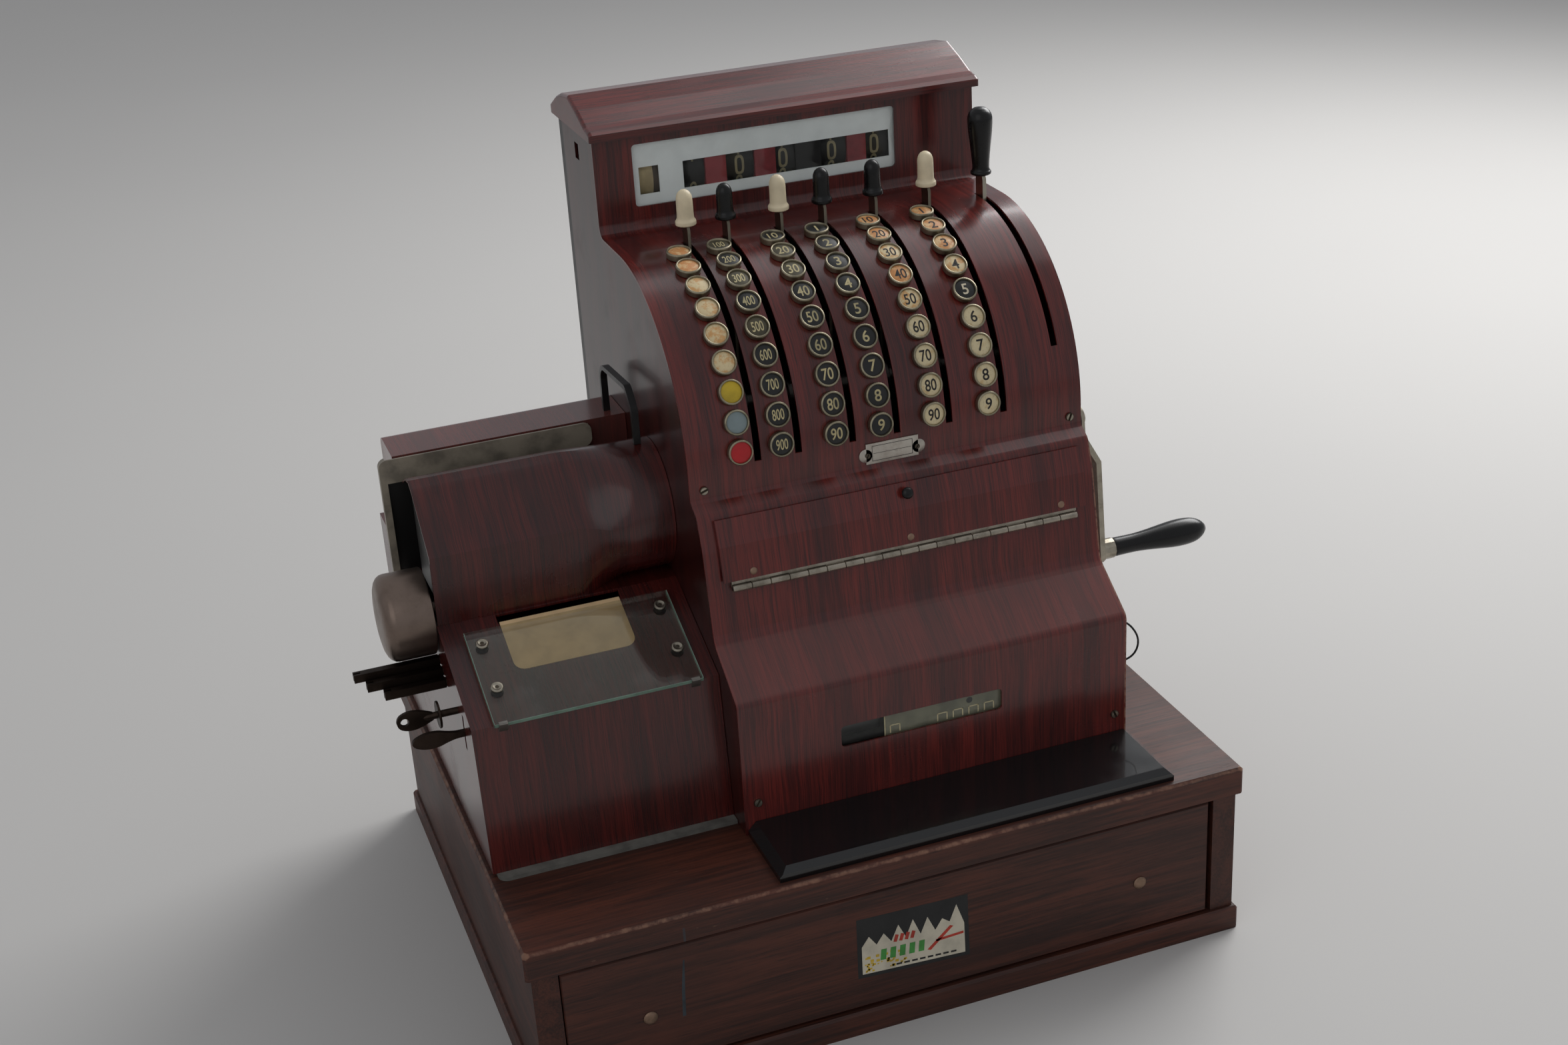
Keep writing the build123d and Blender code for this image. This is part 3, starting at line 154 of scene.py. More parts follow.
class Strand:
    """A number, colour or vector that varies over a finish; arithmetic on numbers adds Math nodes."""

    def __init__(self, finish, socket):
        self.finish, self.socket = finish, socket

    __add__ = __radd__ = arithmetic("ADD")
    __mul__ = __rmul__ = arithmetic("MULTIPLY")
    __sub__ = arithmetic("SUBTRACT")
    __rsub__ = arithmetic("SUBTRACT", swapped=True)


def rgb(*levels):
    """A screen colour of 0-255 levels as the linear colour that a shader takes."""
    linear = [((v / 255 + 0.055) / 1.055) ** 2.4 if v > 10 else v / 255 / 12.92 for v in levels]
    return (*linear, 1.0)


class Finish:
    """One material: a Principled shader and the nodes that drive it."""

    def __init__(self, name, **constants):
        self.material = bpy.data.materials.new(name)
        self.material.use_nodes = True
        self.tree = self.material.node_tree
        self.tree.nodes.clear()
        self.shader = self.tree.nodes.new("ShaderNodeBsdfPrincipled")
        self.output = self.tree.nodes.new("ShaderNodeOutputMaterial")
        self.tree.links.new(self.shader.outputs[0], self.output.inputs[0])
        self.set(**constants)
        self.place = self.node("TexCoord", out="Object")
        self.x, self.y, self.z = (self.node("SeparateXYZ", {}, {0: self.place}, out=k) for k in range(3))

    def node(self, kind, settings=None, sockets=None, out=0):
        made = self.tree.nodes.new("ShaderNode" + kind)
        for name, value in (settings or {}).items():
            setattr(made, name, value)
        for socket, value in (sockets or {}).items():
            self.feed(made.inputs[socket], value)
        return Strand(self, made.outputs[out])

    def feed(self, socket, value):
        if isinstance(value, Strand):
            self.tree.links.new(value.socket, socket)
        else:
            socket.default_value = value

    def set(self, **inputs):
        """Sets shader inputs by name, with an underscore for each space."""
        for name, value in inputs.items():
            self.feed(self.shader.inputs[name.replace("_", " ")], value)
        return self

    def noise(self, stretch, detail=4.0, roughness=0.55, distortion=0.0, place=None, shift=(0, 0, 0)):
        """Noise with a number of features a metre along each axis."""
        stretch = (stretch,) * 3 if isinstance(stretch, (int, float)) else stretch
        scaled = self.node(
            "Mapping", {}, {"Vector": place or self.place, "Scale": stretch, "Location": shift}
        )
        values = {"Vector": scaled, "Scale": 1.0, "Detail": detail, "Roughness": roughness}
        return self.node("TexNoise", {}, {**values, "Distortion": distortion})

    def step(self, value, low, high):
        """0 below low, 1 above high and smooth between; low may be the greater."""
        settings = {"interpolation_type": "SMOOTHSTEP"}
        if low < high:
            return self.node("MapRange", settings, {0: value, 1: low, 2: high, 3: 0.0, 4: 1.0})
        return self.node("MapRange", settings, {0: value, 1: high, 2: low, 3: 1.0, 4: 0.0})

    def mix(self, share, below, above):
        settings = {"data_type": "RGBA"}
        return self.node("Mix", settings, {0: share, 6: below, 7: above}, out=2)

    def bump(self, height, depth, strength=1.0):
        """Feeds the normal from a height of 0-1 that stands for depth metres."""
        values = {"Strength": strength, "Distance": depth, "Height": height}
        self.set(Normal=self.node("Bump", {}, values))
        return self


def toned(shade, *levels):
    """A screen colour with all its levels times a share."""
    return rgb(*(v * shade for v in levels))


def grained_paint(name, along_x=False, gloss=0.24, shade=1.0, worn=0.0, wall=False, painted_sheen=0.0):
    """Sheet steel painted as red mahogany with black figure, under gloss varnish.

    The figure runs up each face, or across the hood with along_x. Shade darkens every colour, for
    painted shade. Worn bares the case's right rim and lays a pale painted sheen up the case's sloping
    face; the last argument spreads that painted sheen evenly over the whole part.
    """
    f = Finish(name, Coat_Weight=0.22, Coat_Roughness=0.12)

    def streaks(across, along):
        return (along, across, across) if along_x else (across, along, along)

    wander = f.noise(26.0, detail=2.0)
    drift = (wander - 0.5) * 0.003
    if along_x:
        moved = f.node("CombineXYZ", {}, {0: f.x, 1: f.y, 2: f.z + drift})
    else:
        turned = f.y if wall else f.y * f.step(f.x, *PRINTER_LEFT_FACE)
        moved = f.node("CombineXYZ", {}, {0: f.x + turned + drift, 1: f.y, 2: f.z})
    fine = f.noise(streaks(1300, 26), detail=5.0, roughness=0.65, place=moved)
    middle = f.noise(streaks(420, 12), detail=4.0, place=moved, shift=(3, 1, 5))
    broad = f.noise(streaks(52, 5), detail=4.0, place=moved, shift=(7, 2, 1))
    line = f.step(fine * 0.6 + middle * 0.4, 0.38, 0.64)
    band = f.step(broad, 0.40, 0.66)
    red = f.mix(line, toned(shade, 112, 37, 31), toned(shade, 66, 23, 21))
    colour = f.mix(band * 0.55, red, toned(shade, 42, 20, 20))
    threads = f.step(f.noise(streaks(700, 40), detail=3.0, place=moved, shift=(1, 8, 4)), 0.60, 0.70)
    colour = f.mix(threads * 0.45, colour, toned(shade, 28, 14, 15))
    ragged = f.noise(160.0, detail=5.0, roughness=0.7, shift=(5, 3, 3))
    rim = f.step(f.x, *CASE_RIGHT_RIM) * f.step(f.z, *BELOW_THE_DRUM) * f.step(ragged, 0.34, 0.56) * worn
    colour = f.mix(rim * 0.6, colour, rgb(168, 128, 104))
    # A pale colour mixed up the case's sloping face and, by the last argument, over the whole part: painted
    # sheen.
    slope_sheen = f.step(f.z, *CASE_SLOPE_FOOT) * f.step(f.z, *CASE_SLOPE_HEAD) * worn
    colour = f.mix(slope_sheen * 0.22 + painted_sheen, colour, rgb(132, 92, 86))
    dust = f.step(f.noise(14.0, detail=6.0, shift=(4, 4, 9)), 0.5, 0.8)
    f.set(Base_Color=colour, Roughness=gloss + dust * 0.12)
    return f.bump(f.noise(700.0, detail=2.0), 0.00005, 0.4)


def cabinet_wood(name, along, light=1.0, worn=0.0):
    """Dark stained hardwood, satin, with open pores along one axis.

    Worn is for the top board: it rubs the edges bare and adds the upper end of the pencil line that
    goes on over the drawer's front.
    """
    f = Finish(name, Specular_IOR_Level=0.42)

    def grain(across, lengthwise):
        return tuple(lengthwise if axis == along else across for axis in "XYZ")

    figure = f.noise(grain(60, 5), detail=5.0, distortion=0.8)
    fine = f.noise(grain(520, 14), detail=4.0, roughness=0.7, shift=(2, 3, 4))
    pores = f.step(f.noise(grain(1500, 60), detail=2.0, shift=(9, 1, 2)), 0.58, 0.70)
    patches = f.noise(9.0, detail=4.0, shift=(1, 5, 2))
    tone = f.step(figure * 0.5 + fine * 0.5, 0.38, 0.62)
    colour = f.mix(tone, toned(light, 54, 27, 19), toned(light, 96, 49, 34))
    colour = f.mix(f.step(patches, 0.42, 0.68) * 0.45, colour, toned(light, 68, 38, 29))
    colour = f.mix(pores * 0.55, colour, rgb(24, 15, 12))
    ragged = f.noise(130.0, detail=6.0, roughness=0.7, shift=(6, 2, 8))
    near_edge = f.step(f.y, *BOARD_FRONT) + f.step(f.x, *BOARD_LEFT) + f.step(f.x, *BOARD_RIGHT)
    arris = f.step(f.z, *BOARD_TOP) * near_edge * worn
    bare = f.step(arris * (0.2 + ragged), 0.50, 0.82)
    rubbed = f.noise(grain(240, 60), detail=5.0, roughness=0.7, shift=(8, 8, 3))
    scuffs = f.step(rubbed, 0.66, 0.74) * 0.25
    colour = f.mix(bare * 0.62 + scuffs * worn, colour, rgb(146, 108, 86))
    pencil_x = f.step(f.x, -0.1574, -0.1569) * f.step(f.x, -0.1552, -0.1557)
    pencil_z = f.step(f.z, DECK_Z - 0.0235, DECK_Z - 0.0220) * f.step(f.z, DECK_Z - 0.0095, DECK_Z - 0.0110)
    on_front = f.step(f.y, FRONT_Y + 0.001, FRONT_Y)
    colour = f.mix(pencil_x * pencil_z * on_front * worn * 0.6, colour, rgb(52, 60, 66))
    f.set(Base_Color=colour, Roughness=0.40 + patches * 0.25)
    return f.bump(1.0 - pores * 0.6 - fine * 0.3, 0.00015, 0.5)


def metal(name, tone, roughness=0.32, smudge=0.5, brushed=None, dirt=(70, 62, 50)):
    """Bare or plated metal with tarnish."""
    f = Finish(name, Metallic=1.0)
    cloud = f.noise(70.0, detail=6.0, roughness=0.65)
    spots = f.step(f.noise(420.0, detail=3.0, shift=(3, 6, 1)), 0.62, 0.74)
    tarnish = f.step(cloud, 0.42, 0.72) * smudge
    colour = f.mix(tarnish, rgb(*tone), rgb(*dirt))
    colour = f.mix(spots * 0.5 * smudge, colour, rgb(40, 34, 28))
    lines = f.noise(brushed or 900.0, detail=3.0, shift=(5, 2, 7))
    f.set(Base_Color=colour, Roughness=roughness + tarnish * 0.25 + (lines - 0.5) * 0.12)
    return f.bump(lines, 0.00004, 0.4)


def lacquer(name, tone, roughness=0.3, mottle=0.2, wear=None, **more):
    """Paint, enamel or moulded plastic, with faint mottling and dust."""
    f = Finish(name, **more)
    cloud = f.noise(60.0, detail=5.0)
    speck = f.step(f.noise(1300.0, detail=2.0, shift=(2, 2, 7)), 0.68, 0.76)
    colour = f.mix(f.step(cloud, 0.35, 0.7), rgb(*tone), toned(1 - mottle, *tone))
    dust = wear or tuple(min(255, v + 40) for v in tone)
    colour = f.mix(speck * 0.25, colour, rgb(*dust))
    f.set(Base_Color=colour, Roughness=roughness + cloud * 0.15)
    return f.bump(f.noise(1000.0, detail=3.0), 0.00005, 0.5)


def aged_face(name, stained, clean, amount):
    """A printed paper face that has browned in patches."""
    f = Finish(name)
    cloud = f.noise(190.0, detail=4.0, roughness=0.6, shift=(3, 7, 5))
    patches = f.step(cloud, amount - 0.10, amount + 0.08)
    grime = f.step(f.noise(620.0, detail=4.0, shift=(8, 1, 4)), 0.52, 0.72)
    colour = f.mix(patches, rgb(*stained), rgb(*clean))
    f.set(Base_Color=f.mix(grime * 0.35, colour, toned(0.72, *stained)), Roughness=0.36 + grime * 0.2)
    return f.bump(grime, 0.00003, 0.3)


def clear_glass(name, tint, reflect, sheen):
    """Clear plate glass: mostly see-through, with a reflection that grows at grazing angles."""
    f = Finish(name, Base_Color=(0.95, 0.97, 0.96, 1), Metallic=1.0, Roughness=0.03)
    see_through = f.node("BsdfTransparent", {}, {"Color": rgb(*tint)})
    grazing = f.node("LayerWeight", {}, {"Blend": 0.35}, out="Fresnel")
    smears = f.step(f.noise(35.0, detail=5.0), 0.5, 0.8) * reflect
    share = grazing * sheen + reflect + smears
    mixer = f.node("MixShader", {}, {0: share, 1: see_through}).socket.node
    f.tree.links.new(f.shader.outputs[0], mixer.inputs[2])
    f.tree.links.new(mixer.outputs[0], f.output.inputs[0])
    return f


def stage_finish():
    """Plain pale floor with the faintest unevenness."""
    f = Finish("pale_floor", Roughness=0.75, Specular_IOR_Level=0.2)
    f.set(Base_Color=f.mix(f.noise(1.5, detail=2.0) * 0.5, rgb(200, 198, 195), rgb(193, 191, 189)))
    return f


paint = grained_paint("grained_paint", worn=1.0)
# The printer's copy of the grained paint is darker all over: painted shade.
printer_shaded_paint = grained_paint("printer_shaded_paint", shade=0.80)
hood_paint = grained_paint("hood_paint", along_x=True)
# The side walls' copy of the grained paint is darker all over: painted shade.
side_paint = grained_paint("side_paint", shade=0.62, gloss=0.30, wall=True)
top_wood = cabinet_wood("top_wood", "X", 0.92, 1.0)
front_wood = cabinet_wood("front_wood", "X", 0.88)
side_wood = cabinet_wood("side_wood", "Y", 0.85)
inner_wood = cabinet_wood("inner_wood", "Y", 1.35)
nickel = metal("nickel", (176, 168, 152), 0.30, 0.45)
dull_nickel = metal("dull_nickel", (170, 162, 148), 0.38, 0.5, brushed=(1800, 60, 60))
steel = metal("steel", (138, 134, 128), 0.40, 0.5)
dark_steel = metal("dark_steel", (92, 84, 74), 0.45, 0.6)
black_enamel = lacquer("black_enamel", (13, 13, 14), 0.10, wear=(90, 88, 84), Coat_Weight=0.5)
black_lacquer = lacquer("black_lacquer", (24, 23, 23), 0.28)
grey_enamel = lacquer("grey_enamel", (112, 110, 104), 0.5, 0.25)
frame_paint = lacquer("frame_paint", (152, 142, 126), 0.34, 0.25)
# The paper box's paint carries an even pale painted sheen over the whole part.
box_paint = grained_paint("box_paint", gloss=0.20, painted_sheen=0.30)
black_plastic = lacquer("black_plastic", (9, 9, 9), 0.20, Specular_IOR_Level=0.38)
ivory = lacquer("ivory", (234, 218, 184), 0.34, 0.08, wear=(190, 160, 120))
mask_white = lacquer("mask_white", (248, 252, 252), 0.5, 0.03)
wheel_ink = lacquer("wheel_ink", (158, 146, 112), 0.5)
wheel_black = lacquer("wheel_black", (20, 19, 19), 0.5)
wheel_maroon = lacquer("wheel_maroon", (150, 56, 62), 0.5)
wheel_tan = lacquer("wheel_tan", (206, 184, 142), 0.5)
cream_paper = lacquer("cream_paper", (234, 200, 154), 0.75, 0.08)
glass = clear_glass("clear_glass", (240, 240, 234), 0.03, 0.20)
window_glass = clear_glass("window_glass", (252, 253, 252), 0.01, 0.10)
edge_green = lacquer("edge_green", (148, 176, 162), 0.15, 0.15)
nickel_rim = metal("nickel_rim", (160, 152, 130), 0.40, 0.5)
drum_metal = metal("drum_metal", (132, 116, 106), 0.34, 0.22, brushed=(1800, 60, 60), dirt=(80, 68, 60))
stud_metal = metal("stud_metal", (150, 124, 106), 0.42, 0.5)
plate_nickel = metal("plate_nickel", (196, 190, 180), 0.38, 0.4, dirt=(120, 92, 76))
lever_steel = metal("lever_steel", (120, 112, 98), 0.35, 0.5)
dark_bronze = metal("dark_bronze", (58, 48, 42), 0.45, 0.5, dirt=(34, 28, 24))
olive_plate = lacquer("olive_plate", (128, 124, 104), 0.5, 0.2)
wheel_brown = lacquer("wheel_brown", (74, 56, 40), 0.5)
orange_face = aged_face("orange_face", (206, 142, 84), (226, 190, 138), 0.56)
mixed_face = aged_face("mixed_face", (210, 160, 100), (222, 202, 158), 0.46)
cream_face = aged_face("cream_face", (204, 178, 130), (216, 200, 160), 0.40)
yellow_face = lacquer("yellow_face", (206, 176, 40), 0.4, 0.15)
blue_face = lacquer("blue_face", (128, 142, 144), 0.45, 0.12)
red_face = lacquer("red_face", (186, 24, 30), 0.35, 0.08)
black_face = lacquer("black_face", (24, 25, 24), 0.30, 0.2)
olive_face = lacquer("olive_face", (74, 68, 46), 0.40, 0.3)
dark_ink = lacquer("dark_ink", (34, 30, 26), 0.5)
pale_ink = lacquer("pale_ink", (226, 214, 186), 0.5)
aged_ink = lacquer("aged_ink", (196, 182, 136), 0.5)
sticker_black = lacquer("sticker_black", (28, 28, 28), 0.5, 0.2)
sticker_white = lacquer("sticker_white", (206, 198, 178), 0.55, 0.12)
sticker_yellow = lacquer("sticker_yellow", (206, 172, 52), 0.55)
sticker_green = lacquer("sticker_green", (70, 150, 66), 0.55)
sticker_red = lacquer("sticker_red", (186, 58, 40), 0.55)
cord_black = lacquer("cord_black", (18, 18, 18), 0.5)

NODE_FINISHES = {
    "base_top_board": top_wood,
    "base_bottom_board": front_wood,
    "base_walls": side_wood,
    "drawer_front": front_wood,
    "drawer_tray": inner_wood,
    "drawer_studs": dull_nickel,
    "printer_base_plate": grey_enamel,
    "front_slab": black_enamel,
    "case_front": paint,
    "case_left_side": side_paint,
    "case_right_side": side_paint,
    "case_floor": dark_steel,
    "case_back_cover": black_lacquer,
    "top_hood": hood_paint,
    "window_panes": window_glass,
    "indicator_mask": mask_white,
    "indicator_shaft": steel,
    "indicator_dividers": wheel_maroon,
    "lever_shaft": steel,
    "main_lever": black_plastic,
    "number_discs": nickel,
    "nameplate": nickel,
    "cover_screws": nickel,
    "counter_works": steel,
    "counter_flap": paint,
    "flap_fittings": nickel,
    "hinge_fixed_leaf": nickel,
    "hinge_moving_leaf": nickel,
    "crank_shaft": steel,
    "crank_arm": nickel,
    "crank_handle": black_plastic,
    "cord_loop": cord_black,
    "printer_case": printer_shaded_paint,
    "printer_hood": printer_shaded_paint,
    "printer_glass": glass,
    "paper": cream_paper,
    "paper_box": box_paint,
    "paper_box_frame": frame_paint,
    "paper_roll": cream_paper,
    "paper_bail": black_lacquer,
    "feed_drum": dull_nickel,
    "date_spindle_1": dark_steel,
    "date_spindle_2": dark_steel,
    "date_spindle_3": dark_steel,
    "lock_key": dark_steel,
    "side_rocker": dark_steel,
    "rocker_pin": steel,
}
GRIPS = (ivory, black_plastic, ivory, black_plastic, black_plastic, ivory)
for number, finish in enumerate(GRIPS, start=1):
    NODE_FINISHES[f"setting_lever_{number}"] = finish
for number in range(1, 7):
    NODE_FINISHES[f"indicator_wheel_{number}"] = wheel_tan if number == 1 else wheel_black


def dress(piece, finish):
    """Gives a piece one finish all over."""
    piece.data.materials.clear()
    piece.data.materials.append(finish.material)


for node_name, finish in NODE_FINISHES.items():
    dress(NODES[node_name], finish)


# ---- Making pieces --------------------------------------------------------------------------
def spot(x, y, z):
    """A place in the deck frame, in millimetres, as a point of the scene."""
    return Vector((x * MM, y * MM + FRONT_Y, z * MM + DECK_Z))


def seat(place, across, out):
    """A frame in millimetres at a place: local x runs across and local z points out."""
    across, out = Vector(across), Vector(out)
    columns = (across, out.cross(across), out)
    return Matrix.Translation(place) @ (Matrix(columns).transposed() * MM).to_4x4()


def facing_front(x, y, z):
    return seat(spot(x, y, z), (1, 0, 0), (0, -1, 0))


def facing_up(x, y, z):
    return seat(spot(x, y, z), (1, 0, 0), (0, 0, 1))


def facing_right(x, y, z):
    return seat(spot(x, y, z), (0, 1, 0), (1, 0, 0))


def leaning(x, y, z, angle):
    """Out points at some degrees above the front."""
    a = math.radians(angle)
    return seat(spot(x, y, z), (1, 0, 0), (0, -math.cos(a), math.sin(a)))


GLYPHS = {}


def glyph(text, slices=0):
    """Flat figures one unit high about their middle, as points and faces."""
    key = (text, slices)
    if key not in GLYPHS:
        curve = bpy.data.curves.new("figures", "FONT")
        curve.body = text
        curve.offset = 0.012
        holder = bpy.data.objects.new("figures", curve)
        bpy.context.scene.collection.objects.link(holder)
        shown = holder.evaluated_get(bpy.context.evaluated_depsgraph_get())
        mesh = bpy.data.meshes.new_from_object(shown)
        bpy.data.objects.remove(holder)
        bm = bmesh.new()
        bm.from_mesh(mesh)
        lows = [min(v.co[k] for v in bm.verts) for k in (0, 1)]
        highs = [max(v.co[k] for v in bm.verts) for k in (0, 1)]
        for v in bm.verts:
            v.co.x = (v.co.x - (lows[0] + highs[0]) / 2) / (highs[1] - lows[1])
            v.co.y = (v.co.y - (lows[1] + highs[1]) / 2) / (highs[1] - lows[1])
        for cut in range(1, slices):
            parts = bm.verts[:] + bm.edges[:] + bm.faces[:]
            height = Vector((0, cut / slices - 0.5, 0))
            bmesh.ops.bisect_plane(bm, geom=parts, plane_co=height, plane_no=(0, 1, 0))
        bm.verts.index_update()
        GLYPHS[key] = (
            [(v.co.x, v.co.y) for v in bm.verts],
            [[v.index for v in face.verts] for face in bm.faces],
        )
        bm.free()
    return GLYPHS[key]


def zero_loop():
    """A nought one unit high, drawn as a narrow loop with round ends."""
    places = []
    count, squareness = 48, 0.62
    for half, high in ((0.40, 0.5), (0.20, 0.36)):
        for k in range(count):
            a = 2 * math.pi * k / count
            u, v = (math.copysign(abs(part) ** squareness, part) for part in (math.cos(a), math.sin(a)))
            places.append((half * u, high * v))
    return places, [(k, (k + 1) % count, count + (k + 1) % count, count + k) for k in range(count)]


def curved_line(points, steps=6):
    """A smooth line through points of the plane, with their ends kept."""
    padded = [points[0], *points, points[-1]]
    line = []
    for a, b, c, d in zip(padded, padded[1:], padded[2:], padded[3:]):
        for step in range(steps):
            t = step / steps
            line.append(
                tuple(
                    0.5 * (2 * b[k] + (c[k] - a[k]) * t + (2 * a[k] - 5 * b[k] + 4 * c[k] - d[k]) * t**2
                           + (3 * b[k] - a[k] - 3 * c[k] + d[k]) * t**3)
                    for k in (0, 1)
                )
            )
    return [*line, points[-1]]


class Piece:
    """Shapes gathered into one object that rides on a body and may stand for CAD nodes."""

    def __init__(self, name, body, slot, *nodes):
        self.name, self.body, self.slot, self.nodes = name, body, slot, nodes
        self.mesh = bmesh.new()
        self.finishes = []

    def faces(self, finish, lists):
        if finish not in self.finishes:
            self.finishes.append(finish)
        made = []
        for corners in lists:
            corners = list(dict.fromkeys(corners))
            if len(corners) > 2:
                face = self.mesh.faces.new(corners)
                face.material_index = self.finishes.index(finish)
                made.append(face)
        return made

    def points(self, frame, places):
        return [self.mesh.verts.new(frame @ Vector(place)) for place in places]

    def lathe(self, finish, frame, profile, sides=48):
        """A turned shape about local z; its profile lists distances along z and radii."""
        rings = []
        for height, radius in profile:
            count = sides if radius > 0 else 1
            turns = [2 * math.pi * k / count for k in range(count)]
            rings.append(
                self.points(frame, [(radius * math.cos(a), radius * math.sin(a), height) for a in turns])
            )
        lists = [rings[0][::-1], rings[-1]]
        for near, far in zip(rings, rings[1:]):
            for k in range(sides):
                pairs = [(near, k), (near, k + 1), (far, k + 1), (far, k)]
                lists.append([ring[index % len(ring)] for ring, index in pairs])
        self.faces(finish, lists)

    def slab(self, finish, frame, outline, depth, bevel=0.0, low=0.0):
        """A flat shape with an outline in local x and y, from the height low."""
        near = self.points(frame, [(u, v, low) for u, v in outline])
        far = self.points(frame, [(u, v, low + depth) for u, v in outline])
        lists = [near[::-1], far]
        for k in range(len(near)):
            lists.append([near[k - 1], near[k], far[k], far[k - 1]])
        made = self.faces(finish, lists)
        if bevel:
            edges = list(made[1].edges)
            bmesh.ops.bevel(
                self.mesh, geom=edges, offset=bevel * MM, segments=3, profile=0.6, affect="EDGES"
            )

    def box(self, finish, frame, us, vs, ws, bevel=0.0):
        corners = [(us[0], vs[0]), (us[1], vs[0]), (us[1], vs[1]), (us[0], vs[1])]
        self.slab(finish, frame, corners, ws[1] - ws[0], bevel, ws[0])

    def washer(self, finish, frame, outline, centre, radius, depth):
        """A flat shape with a round hole."""
        inner = []
        for u, v in outline:
            reach = math.hypot(u - centre[0], v - centre[1])
            share = radius / reach
            inner.append((centre[0] + share * (u - centre[0]), centre[1] + share * (v - centre[1])))
        loops = [
            self.points(frame, [(u, v, w) for u, v in line])
            for line, w in ((inner, 0), (outline, 0), (outline, depth), (inner, depth), (inner, 0))
        ]
        lists = []
        for near, far in zip(loops, loops[1:]):
            lists += [[near[k - 1], near[k], far[k], far[k - 1]] for k in range(len(near))]
        self.faces(finish, lists)

    def figures(self, finish, frame, text, height, narrow=0.8, lift=0.0):
        """Flat figures on local x and y."""
        places, lists = glyph(text)
        made = self.points(frame, [(u * height * narrow, v * height, lift) for u, v in places])
        self.faces(finish, [[made[k] for k in corners] for corners in lists])

    def wrapped_figures(self, finish, frame, text, height, narrow, radius, angle):
        """Figures on a wheel about local z; angle is where they stand."""
        places, lists = zero_loop() if text == "0" else glyph(text, 12)
        made = []
        for u, v in places:
            a = math.radians(angle) - v * height / radius
            made.append((radius * math.cos(a), radius * math.sin(a), u * height * narrow))
        made = self.points(frame, made)
        self.faces(finish, [[made[k] for k in corners] for corners in lists])

    def finish(self, sharp=35.0):
        bm = self.mesh
        bmesh.ops.remove_doubles(bm, verts=bm.verts[:], dist=1e-7)
        bmesh.ops.recalc_face_normals(bm, faces=bm.faces[:])
        for face in bm.faces:
            face.smooth = True
        for edge in bm.edges:
            edge.smooth = len(edge.link_faces) == 2 and edge.calc_face_angle() < math.radians(sharp)
        data = bpy.data.meshes.new(self.name)
        bm.to_mesh(data)
        bm.free()
        for finish in self.finishes:
            data.materials.append(finish.material)
        made = bpy.data.objects.new(self.name, data)
        bpy.context.scene.collection.objects.link(made)
        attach(made, self.body)
        if self.nodes:
            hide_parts(*self.nodes)
        return made


def slotted_head(piece, frame, radius, height, turn, finish, dark):
    """A screw head in two halves with its slot between them."""
    frame = frame @ Matrix.Rotation(math.radians(turn), 4, "Z")
    piece.lathe(dark, frame, [(0, radius), (0.35 * height, radius), (0.35 * height, 0)], 32)
    half_slot = 0.13 * radius
    start = math.asin(half_slot / radius)
    for side in (1, -1):
        turns = [start + k * (math.pi - 2 * start) / 16 for k in range(17)]
        outline = [(radius * math.cos(a), side * radius * math.sin(a)) for a in turns]
        piece.slab(finish, frame, outline[::side], 0.6 * height, 0.3 * height, 0.35 * height)


# ---- Number discs ---------------------------------------------------------------------------
FIRST_DISC_ANGLE = 81.1
DISC_STEP = 9.17
DISC_SEAT = 3.9
FIRST_COLUMN = (orange_face, orange_face, mixed_face, mixed_face, mixed_face, mixed_face,
                yellow_face, blue_face, red_face)
COLUMN_STEPS = (1, 100, 10, 1, 10, 1)


def disc_look(column, row):
    """The face and ink of a disc, by column from 1 and row from 0."""
    if column == 1:
        return FIRST_COLUMN[row], pale_ink
    if column == 6 and row == 4:
        return black_face, pale_ink
    if column in (2, 3, 4):
        olive = {2: (0, 2, 4), 3: (1, 2), 4: ()}[column]
        return (olive_face if row in olive else black_face), aged_ink
    browned, mixed = {5: ((0, 1, 3), (2, 4)), 6: ((0, 1, 2), (3,))}[column]
    return (orange_face if row in browned else mixed_face if row in mixed else cream_face), dark_ink


rims = Piece("disc_rims", "register", "nickel", "number_discs")
plates = Piece("disc_plates", "register", "disc_face")
signs = Piece("disc_figures", "register", "disc_face")
for column, x in enumerate(DISC_XS, start=1):
    for row in range(9):
        angle = FIRST_DISC_ANGLE - DISC_STEP * row
        a = math.radians(angle)
        y, z = DRUM_AXIS[0] - DRUM_RADIUS * math.cos(a), DRUM_AXIS[1] + DRUM_RADIUS * math.sin(a)
        frame = leaning(x, y, z, angle)
        rims.lathe(nickel_rim, frame, [
            (0.0, 8.3), (0.5, 8.8), (DISC_SEAT, 8.95), (4.6, 8.85), (5.05, 8.45), (5.2, 8.0),
            (5.05, 7.6), (4.6, 7.35), (DISC_SEAT, 7.25),
        ], 44)
        face, ink = disc_look(column, row)
        plates.lathe(face, frame, [(DISC_SEAT, 7.28), (4.15, 6.6), (4.25, 0)], 36)
        if column > 1:
            number = (row + 1) * COLUMN_STEPS[column - 1]
            narrow = {1: 0.95, 2: 0.78, 3: 0.56}[len(str(number))]
            signs.figures(ink, frame, str(number), 8.2 if number < 100 else 7.6, narrow, 4.3)
for piece in (rims, plates, signs):
    piece.finish()

